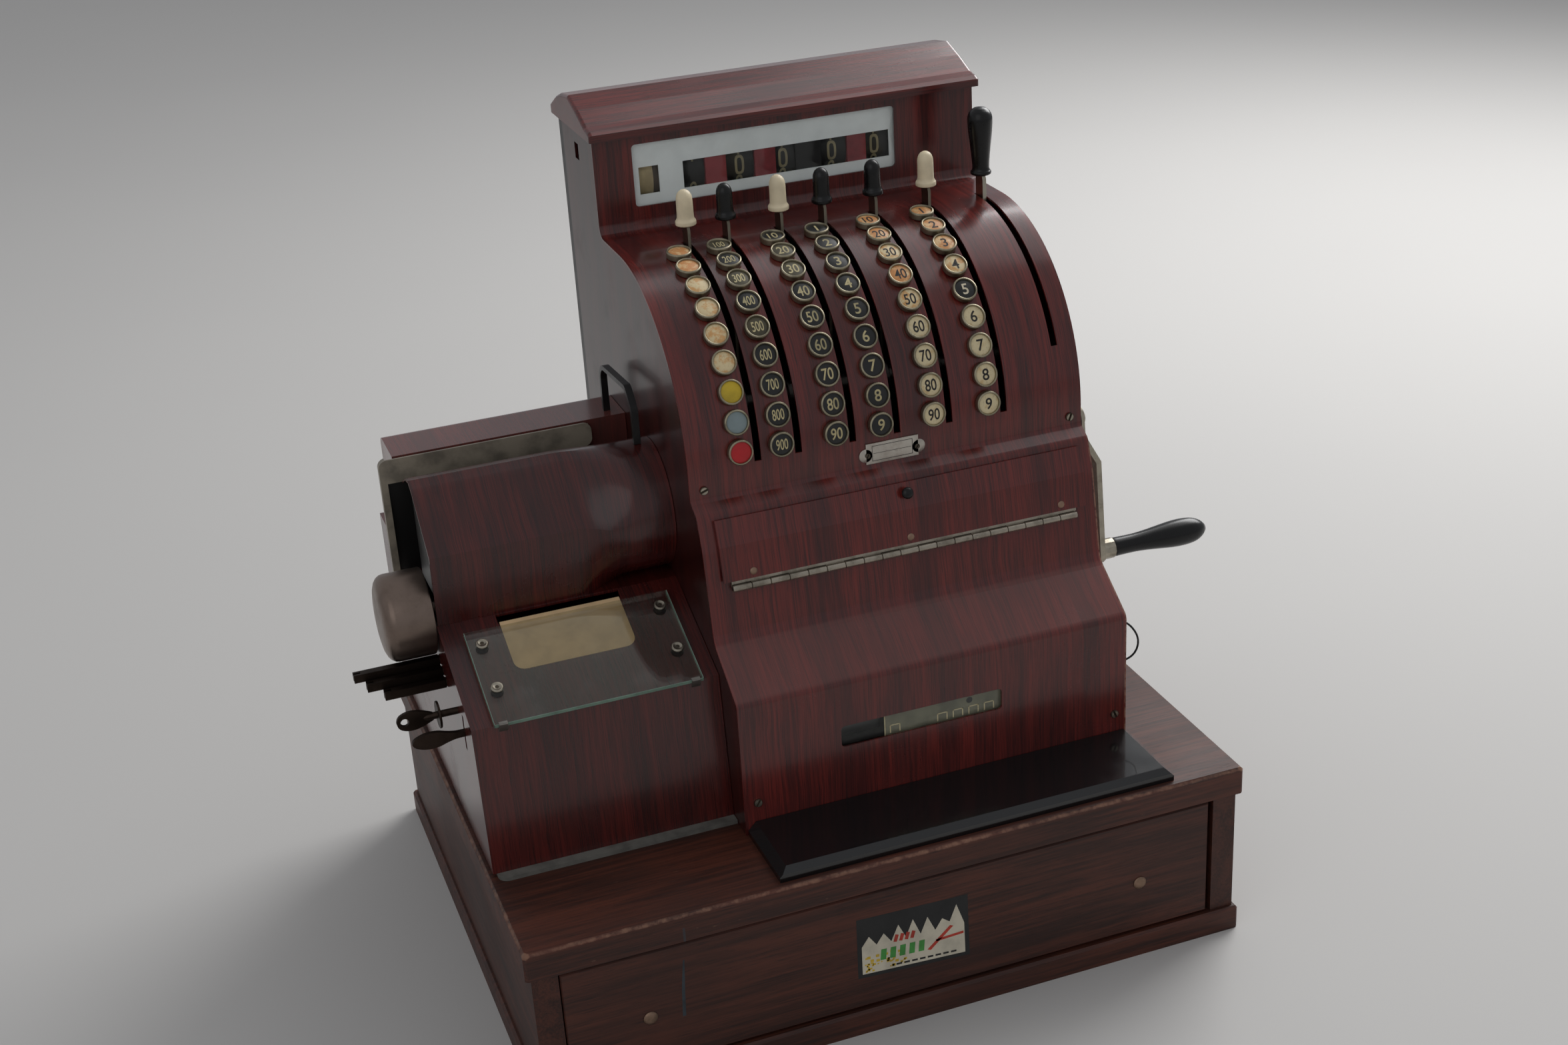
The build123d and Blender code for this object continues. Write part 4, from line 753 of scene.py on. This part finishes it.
# ---- Levers ---------------------------------------------------------------------------------
HUB_RADIUS = 11.0
SHAFT_HOLE_RADIUS = 6.1
SETTING_REACH = 139.9
MAIN_REACH = 141.8
KNOB = [*curved_line([
    (0, 6.7), (0.5, 7.4), (1.5, 7.5), (2.9, 7.4), (4.2, 6.6), (6.0, 6.05), (12, 5.9), (18.5, 5.8),
    (21.6, 5.2), (23.9, 3.8), (25.2, 1.9)], 4), (25.6, 0)]
MAIN_KNOB = [*curved_line([
    (0, 6.8), (0.6, 7.5), (2.2, 7.5), (3.6, 6.5), (6, 6.2), (12, 6.6), (22, 7.6), (32, 8.7),
    (39, 9.15), (43, 8.9), (46.5, 7.3), (48.9, 4.4)], 4), (50, 0)]


def lever(body, node, x, reach, half, stem_finish, grip_finish, profile):
    """A flat stem on a round hub, with a turned knob from the reach on."""
    stem = Piece(f"{body}_stem", body, "steel", node)
    outline = [(-6, 0), (6, 0), (6, reach - 3), (4.5, reach), (-4.5, reach), (-6, reach - 3)]
    stem.slab(stem_finish, facing_right(x - half, *DRUM_AXIS), outline, 2 * half, 0.3)
    rounded = HUB_RADIUS - 0.6
    stem.lathe(steel, facing_right(x - 4, *DRUM_AXIS), [
        (0, SHAFT_HOLE_RADIUS), (0, rounded), (0.6, HUB_RADIUS), (7.4, HUB_RADIUS), (8, rounded),
        (8, SHAFT_HOLE_RADIUS)])
    stem.finish()
    knob = Piece(f"{body}_knob", body, "ivory" if grip_finish is ivory else "black_plastic")
    knob.lathe(grip_finish, facing_up(x, DRUM_AXIS[0], DRUM_AXIS[1] + reach), profile, 56)
    knob.finish()


for number, (x, grip) in enumerate(zip(LEVER_XS, GRIPS), start=1):
    lever(f"lever_{number}", f"setting_lever_{number}", x, SETTING_REACH, 1.1, lever_steel, grip, KNOB)
lever("main_lever", "main_lever", MAIN_LEVER_X, MAIN_REACH, 1.5, nickel, black_plastic, MAIN_KNOB)

# ---- Crank ----------------------------------------------------------------------------------
grip = Piece("crank_grip", "crank_handle", "black_plastic", "crank_handle")
grip.lathe(black_plastic, facing_right(236.3, *CRANK_HANDLE_AXIS), [*curved_line([
    (0, 6.3), (0.8, 7.0), (8, 6.9), (18, 6.9), (28, 7.6), (38, 8.7), (48, 9.8), (56, 10.15), (63, 9.8),
    (69, 8.6), (74, 6.0), (77, 3.0)], 4), (78, 0)], 64)
grip.finish()
hub = Piece("crank_hub_cap", "crank", "nickel")
hub.lathe(nickel, facing_right(214.35, *CRANK_AXIS), [
    (0, 6.8), (1.4, 6.7), (2.4, 5.4), (2.9, 2.8), (3.0, 0)])
hub.lathe(nickel, facing_right(226.05, *CRANK_HANDLE_AXIS), [(0, 8.4), (0.8, 8.6), (1.6, 8.3), (1.9, 7.7)])
hub.finish()

# ---- Feed drum ------------------------------------------------------------------------------
drum = Piece("feed_drum_shell", "feed_drum", "nickel", "feed_drum")
drum.lathe(drum_metal, facing_right(-296, *FEED_DRUM_AXIS), [
    (0.0, 0), (0.1, 12), (0.5, 19), (1.3, 23.6), (2.6, 26.8), (4.4, 29.1), (6.6, 30.5), (9.0, 31.0),
    (33.4, 31.0), (34.6, 30.6), (35.0, 29.8), (35.0, 29.0), (12.0, 29.0), (12.0, 5.0), (55.0, 5.0),
    (55.0, 0)], 96)
drum.finish()

# ---- Screws, studs and the flap's fittings --------------------------------------------------
screws = Piece("case_screws", "register", "nickel", "cover_screws")
for x, turn in ((-77.0, 20), (197.7, 70)):
    slotted_head(screws, facing_front(x, 70, 24.3), 3.0, 1.6, turn + 40, nickel, dark_steel)
    slotted_head(screws, facing_front(x, 140, 231.5), 3.0, 1.6, turn, nickel, dark_steel)
for x, turn in ((42.2, 60), (79.3, 55)):
    slotted_head(screws, facing_front(x, 139, 233), 1.9, 0.9, turn, dark_steel, black_lacquer)
SLOPE_LEAN = math.degrees(math.atan2(SLOPE_HEAD[1] - SLOPE_FOOT[1], SLOPE_HEAD[0] - SLOPE_FOOT[0]))


def slope_frame(x, row, lift):
    """A frame on the printer's sloping face, some way up it and above it."""
    a = math.radians(SLOPE_LEAN)
    y = SLOPE_FOOT[0] + row * math.cos(a) - lift * math.sin(a)
    z = SLOPE_FOOT[1] + row * math.sin(a) + lift * math.cos(a)
    return leaning(x, y, z, 90 - SLOPE_LEAN)


for x in (-235.2, -108.2):
    for row in (27.0, 66.4):
        screws.lathe(dark_steel, slope_frame(x, row, 0), [
            (0, 4.4), (2.3, 4.4), (2.3, 2.0), (5.5, 2.0), (5.5, 0)])
        screws.lathe(nickel, slope_frame(x, row, 5.4), [
            (0, 4.3), (0.5, 4.35), (1.1, 3.9), (1.2, 3.2), (0.8, 2.6)])
        screws.lathe(dark_steel, slope_frame(x, row, 5.5), [(0, 2.7), (0.5, 2.6), (0.7, 1.4), (0.75, 0)])
screws.finish()

studs = Piece("stud_heads", "drawer", "nickel", "drawer_studs")
for x in (-183.5, 183.5):
    studs.lathe(stud_metal, facing_front(x, DRAWER_FACE, -77), [
        (0, 5), (0.5, 4.95), (1.2, 4.3), (1.7, 3.0), (1.95, 1.4), (2, 0)])
studs.finish()

LOWER_LEAN = math.degrees(math.atan2(FLAP_BEND[1] - FLAP_FOOT[1], FLAP_BEND[0] - FLAP_FOOT[0]))
UPPER_LEAN = math.degrees(math.atan2(FLAP_TOP[1] - FLAP_BEND[1], FLAP_TOP[0] - FLAP_BEND[0]))


def flap_frame(x, z, lift=3.8):
    """A frame on the flap's face."""
    lean = LOWER_LEAN if z < FLAP_BEND[1] else UPPER_LEAN
    a = math.radians(lean)
    y = FLAP_BEND[0] + (z - FLAP_BEND[1]) / math.tan(a)
    return leaning(x, y - lift * math.sin(a), z + lift * math.cos(a), 90 - lean)


fittings = Piece("flap_screws", "flap", "nickel", "flap_fittings")
for x in (-54, 62, 178):
    fittings.lathe(stud_metal, flap_frame(x, 176.6), [
        (0, 2.6), (0.3, 2.5), (0.7, 1.8), (0.95, 0.9), (1.0, 0)], 32)
fittings.finish()
knob = Piece("flap_knob", "flap", "black_plastic")
knob.lathe(black_plastic, flap_frame(62, 206.5), [*curved_line([
    (0, 2.4), (0.6, 1.9), (2.0, 1.8), (3.0, 3.0), (4.3, 4.1), (5.6, 4.0), (6.8, 2.8)], 3), (7.5, 0)], 40)
knob.finish()

HINGE_XS = (-70, 190)
KNUCKLES = 19
KNUCKLE_PITCH = (HINGE_XS[1] - HINGE_XS[0]) / KNUCKLES
for parity, (body, node, depths) in enumerate((
    ("register", "hinge_fixed_leaf", (0.0, 0.8)),
    ("flap", "hinge_moving_leaf", (1.5, 2.3)),
)):
    hinge = Piece(f"hinge_half_{parity + 1}", body, "nickel", node)
    hinge.box(dull_nickel, flap_frame(0, 170.2, 0), HINGE_XS, (-0.5, 9.0), depths)
    for k in range(parity, KNUCKLES, 2):
        x = HINGE_XS[0] + k * KNUCKLE_PITCH
        length = KNUCKLE_PITCH - 0.3
        hinge.box(dull_nickel, flap_frame(0, 167.6, 0), (x, x + length), (0, 2.4), depths)
        hinge.lathe(dull_nickel, facing_right(x, *HINGE_AXIS), [
            (0, 1.25), (0, 2.1), (0.3, 2.45), (length - 0.3, 2.45), (length, 2.1), (length, 1.25)], 24)
    if not parity:
        length = HINGE_XS[1] - HINGE_XS[0]
        hinge.lathe(steel, facing_right(HINGE_XS[0], *HINGE_AXIS), [
            (0, 0), (0, 1.2), (length, 1.2), (length, 0)], 16)
    hinge.finish()

# ---- Indicator ------------------------------------------------------------------------------
WHEELS = ((-54.5, -37.5), (-20.3, -3.2), (13.3, 34.8), (51.5, 66.5), (87.0, 107.2), (122.6, 140.5))
FIGURES_AT = (None, (-20.3 - 3.2) / 2, 23.6, 57.4, 95.7, 129.6)
WHEEL_RADIUS = 23.5
DIGIT_TURN = 36
for number, ((low, high), middle) in enumerate(zip(WHEELS, FIGURES_AT), start=1):
    wheel = Piece(f"wheel_rim_{number}", f"wheel_{number}", "wheel_paint", f"indicator_wheel_{number}")
    width = high - low
    frame = facing_right(low, *WHEEL_AXIS)
    paint_here = wheel_tan if number == 1 else wheel_black
    wheel.lathe(paint_here, frame, [
        (0, 5.05), (0, 23.0), (0.4, WHEEL_RADIUS), (width - 0.4, WHEEL_RADIUS), (width, 23.0), (width, 5.05),
    ], 80)
    if middle is None:
        band = (width - 4.6, width - 0.4)
        wheel.lathe(wheel_brown, frame, [
            (band[0], 23.4), (band[0], 23.56), (band[1], 23.56), (band[1], 23.4)], 80)
    else:
        place = facing_right(middle, *WHEEL_AXIS)
        for digit in range(1 if number == 2 else 0, 10):
            angle = 180 - DIGIT_TURN * digit
            wheel.wrapped_figures(wheel_ink, place, str(digit), 14.5, 0.62, WHEEL_RADIUS + 0.12, angle)
    wheel.finish()
bars = Piece("divider_blocks", "register", "wheel_paint", "indicator_dividers")
DIVIDERS = ((-2.9, 13.0, wheel_maroon), (35.1, 51.2, wheel_maroon), (66.8, 86.7, wheel_black),
            (107.5, 122.3, wheel_maroon))
for low, high, tone in DIVIDERS:
    bars.box(tone, facing_front(0, 334.9, 0), (low, high), (386, 410), (0, 15.9))
bars.finish()

# ---- Nameplate ------------------------------------------------------------------------------
plate = Piece("nameplate_sheet", "register", "nickel", "nameplate")
frame = facing_front(0, 140, 0)
plate.box(plate_nickel, frame, (41.0, 80.5), (226.2, 241.6), (0.0, 0.95), 0.3)
for x in (41.0, 80.5):
    plate.lathe(plate_nickel, facing_front(x, 140, 233), [(0, 5), (0.75, 5), (0.95, 4.7), (0.95, 0)], 40)
ENGRAVED = (
    ((45.5, 76.0), (228.2, 228.6)), ((45.5, 76.0), (239.2, 239.6)), ((45.5, 45.9), (228.2, 239.6)),
    ((75.6, 76.0), (228.2, 239.6)), ((46.5, 75.0), (233.7, 234.0)),
)
for us, vs in ENGRAVED:
    plate.box(dark_ink, frame, us, vs, (0.9, 1.0))
plate.finish()

# ---- Counter window -------------------------------------------------------------------------
works = Piece("counter_works_detail", "register", "steel", "counter_works")
works.lathe(steel, facing_right(-85, *COUNTER_AXIS), [(0, 0), (0, 3), (290, 3), (290, 0)], 24)
works.lathe(black_lacquer, facing_right(-19, *COUNTER_AXIS), [(0, 3), (0, 10.8), (38, 10.8), (38, 3)], 48)
frame = facing_front(0, 74.5, 0)
PLATE_LEFT = 20.0
PLATE_ZS = (47.5, 71.8)
PAINTED = (0.9, 1.0)
works.box(olive_plate, frame, (PLATE_LEFT, 112.5), PLATE_ZS, (0, PAINTED[0]))
works.box(cream_face, frame, (PLATE_LEFT, PLATE_LEFT + 0.7), PLATE_ZS, PAINTED)
works.lathe(black_lacquer, facing_front(85, 73.6, 62.5), [(0, 2.4), (0.08, 2.3), (0.08, 0)], 32)
for left in (24, 60, 72, 84, 96):
    works.box(cream_face, frame, (left, left + 8), (57.0, 57.7), PAINTED)
    works.box(cream_face, frame, (left, left + 0.8), (51.5, 57.7), PAINTED)
    works.box(cream_face, frame, (left + 7.2, left + 8), (51.5, 57.7), PAINTED)
works.finish()

# ---- Printer --------------------------------------------------------------------------------
slip = Piece("paper_slip", "register", "cream_paper", "paper")
SLIP_LEFT, SLIP_RIGHT = -218, -132
SLIP_FOOT, SLIP_HEAD = 41.3, 86.0
SLIP_CORNER = 8
turns = [math.radians(a) for a in range(180, 271, 10)]
corner = [(SLIP_CORNER * (1 + math.cos(a)), SLIP_CORNER * (1 + math.sin(a))) for a in turns]
outline = [(SLIP_LEFT, SLIP_HEAD)] + [(SLIP_LEFT + u, SLIP_FOOT + v) for u, v in corner]
outline += [(SLIP_RIGHT - u, SLIP_FOOT + v) for u, v in reversed(corner)] + [(SLIP_RIGHT, SLIP_HEAD)]
slip.slab(cream_paper, slope_frame(0, 0, 0.02), outline, 0.36)
slip.finish()
edges = Piece("glass_edges", "register", "clear_glass")
frame = slope_frame(0, 0, 2.4)
GLASS_XS = (-245.0, -99.5)
GLASS_ROWS = (-3.6, 78.7)
GLASS_DEPTH = (-0.02, 3.02)
edges.box(edge_green, frame, (GLASS_XS[0], GLASS_XS[0] + 0.3), GLASS_ROWS, GLASS_DEPTH)
edges.box(edge_green, frame, GLASS_XS, (GLASS_ROWS[0], GLASS_ROWS[0] + 0.25), GLASS_DEPTH)
edges.box(edge_green, frame, (GLASS_XS[1] - 0.3, GLASS_XS[1]), GLASS_ROWS, GLASS_DEPTH)
edges.finish()
clips = Piece("glass_clips", "register", "steel")
for x in (-239.0, -105.0):
    clips.box(steel, slope_frame(x, -4.0, 0), (-3, 3), (-0.7, 0.2), (-1.0, 5.8), 0.2)
    clips.box(steel, slope_frame(x, -4.0, 5.5), (-3, 3), (0.2, 2.2), (0.0, 0.4), 0.1)
clips.finish()

# The hood's section at its left, as y and z of its folds, and at its round cheek, as angles about
# the cheek's axis; the spans between two folds match those between two angles.
HOOD_SHEET = 1.5
CHEEK_RADIUS = 46.5
HOOD_FOOT = 155.0
FOLDED = ((192.0, 146.6), (190.3, 172.8), (189.2, 199.0), (202.0, 210.6), (215.2, 222.2), (228.6, 233.8),
          (237.3, 238.0), (249.5, 235.0), (262.0, 228.5))
ROUND = (-77.5, -35, 0, 22.5, 45, 67.5, 90, 115, 141)
SPANS = len(ROUND) - 1
STEPS = 4


def hood_point(t, share, depth):
    """A point of the hood's section; share is 0 on the folded part and 1 on the round cheek."""
    k = min(int(t), SPANS - 1)
    part = t - k
    near, far = FOLDED[k], FOLDED[k + 1]
    flat = [near[i] + part * (far[i] - near[i]) for i in (0, 1)]
    length = math.hypot(far[0] - near[0], far[1] - near[1])
    normal = ((far[1] - near[1]) / length, (near[0] - far[0]) / length)
    a = math.radians(ROUND[k] + part * (ROUND[k + 1] - ROUND[k]))
    radius = CHEEK_RADIUS - depth
    turned = (CHEEK_AXIS[0] - radius * math.cos(a), CHEEK_AXIS[1] + radius * math.sin(a))
    flat = [flat[i] + depth * normal[i] for i in (0, 1)]
    return [flat[i] + share * (turned[i] - flat[i]) for i in (0, 1)]


def hood_line(share, depth):
    """The hood's section as a line from its front foot over the top to its rear edge."""
    return [hood_point(k / STEPS, share, depth) for k in range(SPANS * STEPS + 1)]


hood = Piece("hood_shell", "register", "grained_paint", "printer_hood")
BLEND_LEFT, BLEND_LENGTH, BLEND_STEPS = -158.0, 48, 14
stations = [(-259.0, 0.0), (-205.0, 0.0)]
for k in range(BLEND_STEPS + 1):
    t = k / BLEND_STEPS
    stations.append((BLEND_LEFT + BLEND_LENGTH * t, t**2 * (3 - 2 * t)))
stations.append((-87.3, 1.0))
loops = []
for x, share in stations:
    section = hood_line(share, 0) + hood_line(share, HOOD_SHEET)[::-1]
    loops.append(hood.points(facing_right(x, 0, 0), [(u, v, 0) for u, v in section]))
shell = [loops[0][::-1], loops[-1]]
for near, far in zip(loops, loops[1:]):
    shell += [[near[k - 1], near[k], far[k], far[k - 1]] for k in range(len(near))]
hood.faces(printer_shaded_paint, shell)
outline = hood_line(0, HOOD_SHEET) + [(262.0, HOOD_FOOT), (204.0, HOOD_FOOT)]
hood.slab(black_lacquer, facing_right(-254, 0, 0), outline, 1.5)
hood.finish(22)
# A black sheet behind the paper box's frame, as painted shade: it darkens the box's inside seen left of the
# hood.
shade_backing = Piece("painted_shade_backing", "register", "grained_paint")
shade_backing.box(black_lacquer, facing_front(0, 290, 0), (-266.2, -120.0), (146.8, 222.0), (0.2, 2.0))
shade_backing.finish()


def leaf_outline(side):
    """A flat leaf's outline from one side of it, as x and half widths from its tip on."""
    return side + [(u, -v) for u, v in reversed(side[1:])]


key = Piece("key_bow", "lock_key", "steel", "lock_key")
outline = leaf_outline(curved_line([
    (-302, 0.0), (-301.2, 3.0), (-299.0, 5.3), (-295, 6.8), (-290, 7.0), (-285, 5.9), (-280.5, 4.2),
    (-277, 2.6)], 4))
key.washer(dark_bronze, facing_front(0, 151.25, KEY_AXIS[1]), outline, (-296.5, 0), 2.8, 2.5)
key.lathe(dark_bronze, facing_right(-284, *KEY_AXIS), [(0, 1.2), (3, 2.5), (38, 2.5), (38, 0)], 32)
key.lathe(dark_bronze, facing_right(-274, *KEY_AXIS), [
    (0, 2.5), (0, 9.2), (0.3, 9.5), (1.3, 9.5), (1.6, 9.2), (1.6, 2.5)], 48)
key.finish()

ROCKER_Y, ROCKER_Z = 134.5, 94
ROCKER_PIN_X = -232
rocker = Piece("rocker_blade", "side_rocker", "steel", "side_rocker")
side = curved_line([
    (-296, 0.0), (-294.5, 2.6), (-290, 4.8), (-284.5, 5.9), (-278, 5.5), (-272, 3.7), (-266.5, 2.5),
    (-262, 2.3)], 4)
outline = leaf_outline(side + [(ROCKER_PIN_X, 2.4)])
rocker.slab(dark_bronze, facing_front(0, ROCKER_Y, ROCKER_Z), outline, 3.0, 0.5)
rocker.lathe(dark_bronze, facing_front(ROCKER_PIN_X, ROCKER_Y, ROCKER_Z), [
    (0, 3.1), (0, 6), (3, 6), (3, 3.1)], 32)
rocker.finish()

# ---- Date spindles --------------------------------------------------------------------------
SPINDLES = ((200.0, 117.0, 60.0), (191.5, 112.5, 53.0), (183.0, 108.0, 43.0))
BAR_HALF = 3
PRINTER_LEFT = -260
for number, (y, z, length) in enumerate(SPINDLES, start=1):
    bar = Piece(f"date_bar_{number}", f"date_spindle_{number}", "steel", f"date_spindle_{number}")
    frame = facing_right(PRINTER_LEFT - length, y, z)
    across = (-BAR_HALF, BAR_HALF)
    bar.box(dark_bronze, frame, across, across, (5.0, length - 0.3), 0.4)
    bar.box(dark_bronze, frame, (-BAR_HALF, -0.9), across, (0.0, 5.2), 0.2)
    bar.box(dark_bronze, frame, (0.9, BAR_HALF), across, (0.0, 5.2), 0.2)
    bar.lathe(dark_bronze, frame, [
        (3.0, 1.2), (5.2, 1.2), (length - 0.5, 1.2), (length - 0.3, 3.3), (length + 13.7, 3.3),
        (length + 13.7, 0)], 32)
    bar.finish()

# ---- Sticker on the drawer ------------------------------------------------------------------
CORNERS = ((-34.8, -92.7), (49.4, -97.6), (48.8, -46.8), (-34.3, -44.0))


def on_sticker(s, t):
    """A place on the sticker by its shares from the left and from the foot."""
    (ax, ay), (bx, by), (cx, cy), (dx, dy) = CORNERS
    low, high = (ax + s * (bx - ax), ay + s * (by - ay)), (dx + s * (cx - dx), dy + s * (cy - dy))
    return (low[0] + t * (high[0] - low[0]), low[1] + t * (high[1] - low[1]))


sticker = Piece("drawer_sticker", "drawer", "cream_paper")
frame = facing_front(0, DRAWER_FACE, 0)


def patch(finish, shares, lift):
    sticker.slab(finish, frame, [on_sticker(s, t) for s, t in shares], 0.03, low=lift)


rng = random.Random(7)
patch(sticker_black, [(0, 0), (1, 0), (1, 1), (0, 1)], 0.02)
ridge = []
for k in range(15):
    height = 0.52 + (0.16 if k % 2 else 0.0) + 0.24 * rng.random() * (k > 4)
    ridge.append((0.04 + 0.92 * k / 14, height))
patch(sticker_white, [(0.96, 0.06), *reversed(ridge), (0.04, 0.06)], 0.06)
for k in range(46):
    s, t = 0.06 + 0.42 * rng.random() ** 1.4, 0.08 + 0.26 * rng.random()
    w = 0.012 + 0.02 * rng.random()
    patch(sticker_yellow, [(s, t), (s + w, t), (s + w, t + 1.4 * w), (s, t + 1.4 * w)], 0.10)
for k in range(5):
    s = 0.20 + 0.085 * k
    patch(sticker_green, [(s, 0.24), (s + 0.05, 0.24), (s + 0.06, 0.42), (s + 0.01, 0.42)], 0.14)
for k in range(4):
    s = 0.32 + 0.05 * k
    patch(sticker_red, [(s, 0.50), (s + 0.03, 0.49), (s + 0.05, 0.60), (s + 0.02, 0.62)], 0.14)
patch(sticker_red, [(0.62, 0.24), (0.65, 0.22), (0.86, 0.54), (0.83, 0.56)], 0.14)
patch(sticker_red, [(0.70, 0.34), (0.95, 0.38), (0.95, 0.42), (0.70, 0.38)], 0.14)
for k in range(8):
    s = 0.34 + 0.07 * k
    patch(sticker_black, [(s, 0.10), (s + 0.05, 0.10), (s + 0.05, 0.13), (s, 0.13)], 0.14)
sticker.finish()
pencil = lacquer("pencil_blue", (52, 60, 66), 0.6, 0.3)
mark = Piece("pencil_mark", "drawer", "drawer_wood")
mark.slab(pencil, frame, [
    (-157.9, -38), (-156.7, -38), (-158.2, -62), (-159.0, -83), (-161.4, -83), (-160.4, -62)], 0.03)
mark.finish()

# ---- Cord loop ------------------------------------------------------------------------------
CORD = ((207.0, 94.0, 87.0), (212.5, 94.0, 87.0), (222.5, 92.0, 81.0), (229.0, 90.5, 68.5),
        (226.0, 90.5, 57.0), (216.5, 92.5, 51.5), (207.0, 92.5, 51.5))
CORD_RADIUS = 0.75
line = bpy.data.curves.new("cord_line", "CURVE")
line.dimensions = "3D"
line.bevel_depth = CORD_RADIUS * MM
line.bevel_resolution = 4
line.resolution_u = 16
spline = line.splines.new("NURBS")
spline.points.add(len(CORD) - 1)
for point, place in zip(spline.points, CORD):
    point.co = (*spot(*place), 1.0)
spline.order_u = 3
spline.use_endpoint_u = True
cord = bpy.data.objects.new("cord_line", line)
bpy.context.scene.collection.objects.link(cord)
line.materials.append(cord_black.material)
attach(cord, "register")
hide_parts("cord_loop")


# ---- Stage ----------------------------------------------------------------------------------
FLOOR_HALF = 6
ROOM_BRIGHTNESS = 0.52


def lay_floor():
    mesh = bpy.data.meshes.new("floor")
    corners = [(FLOOR_HALF * x, FLOOR_HALF * y, 0) for x, y in ((-1, -1), (1, -1), (1, 1), (-1, 1))]
    mesh.from_pydata(corners, [], [(0, 1, 2, 3)])
    floor = bpy.data.objects.new("floor", mesh)
    bpy.context.scene.collection.objects.link(floor)
    dress(floor, stage_finish())


def set_world():
    world = bpy.data.worlds.new("room")
    bpy.context.scene.world = world
    world.use_nodes = True
    background = world.node_tree.nodes["Background"]
    background.inputs["Color"].default_value = rgb(222, 224, 228)
    background.inputs["Strength"].default_value = ROOM_BRIGHTNESS


set_camera()
lay_floor()
set_world()
LIT_POINT = (0.05, 0.0, 0.3)
area_light("window", (1.9, 1.1, 1.7), LIT_POINT, (1.6, 1.4), 42)
area_light("ceiling", (1.75, 0.9, 2.4), LIT_POINT, (2.3, 2.4), 17)
area_light("room_fill", (-1.6, -1.8, 1.8), (0.0, 0.0, 0.3), (2.0, 2.0), 5)
bpy.context.scene.view_settings.view_transform = "Standard"
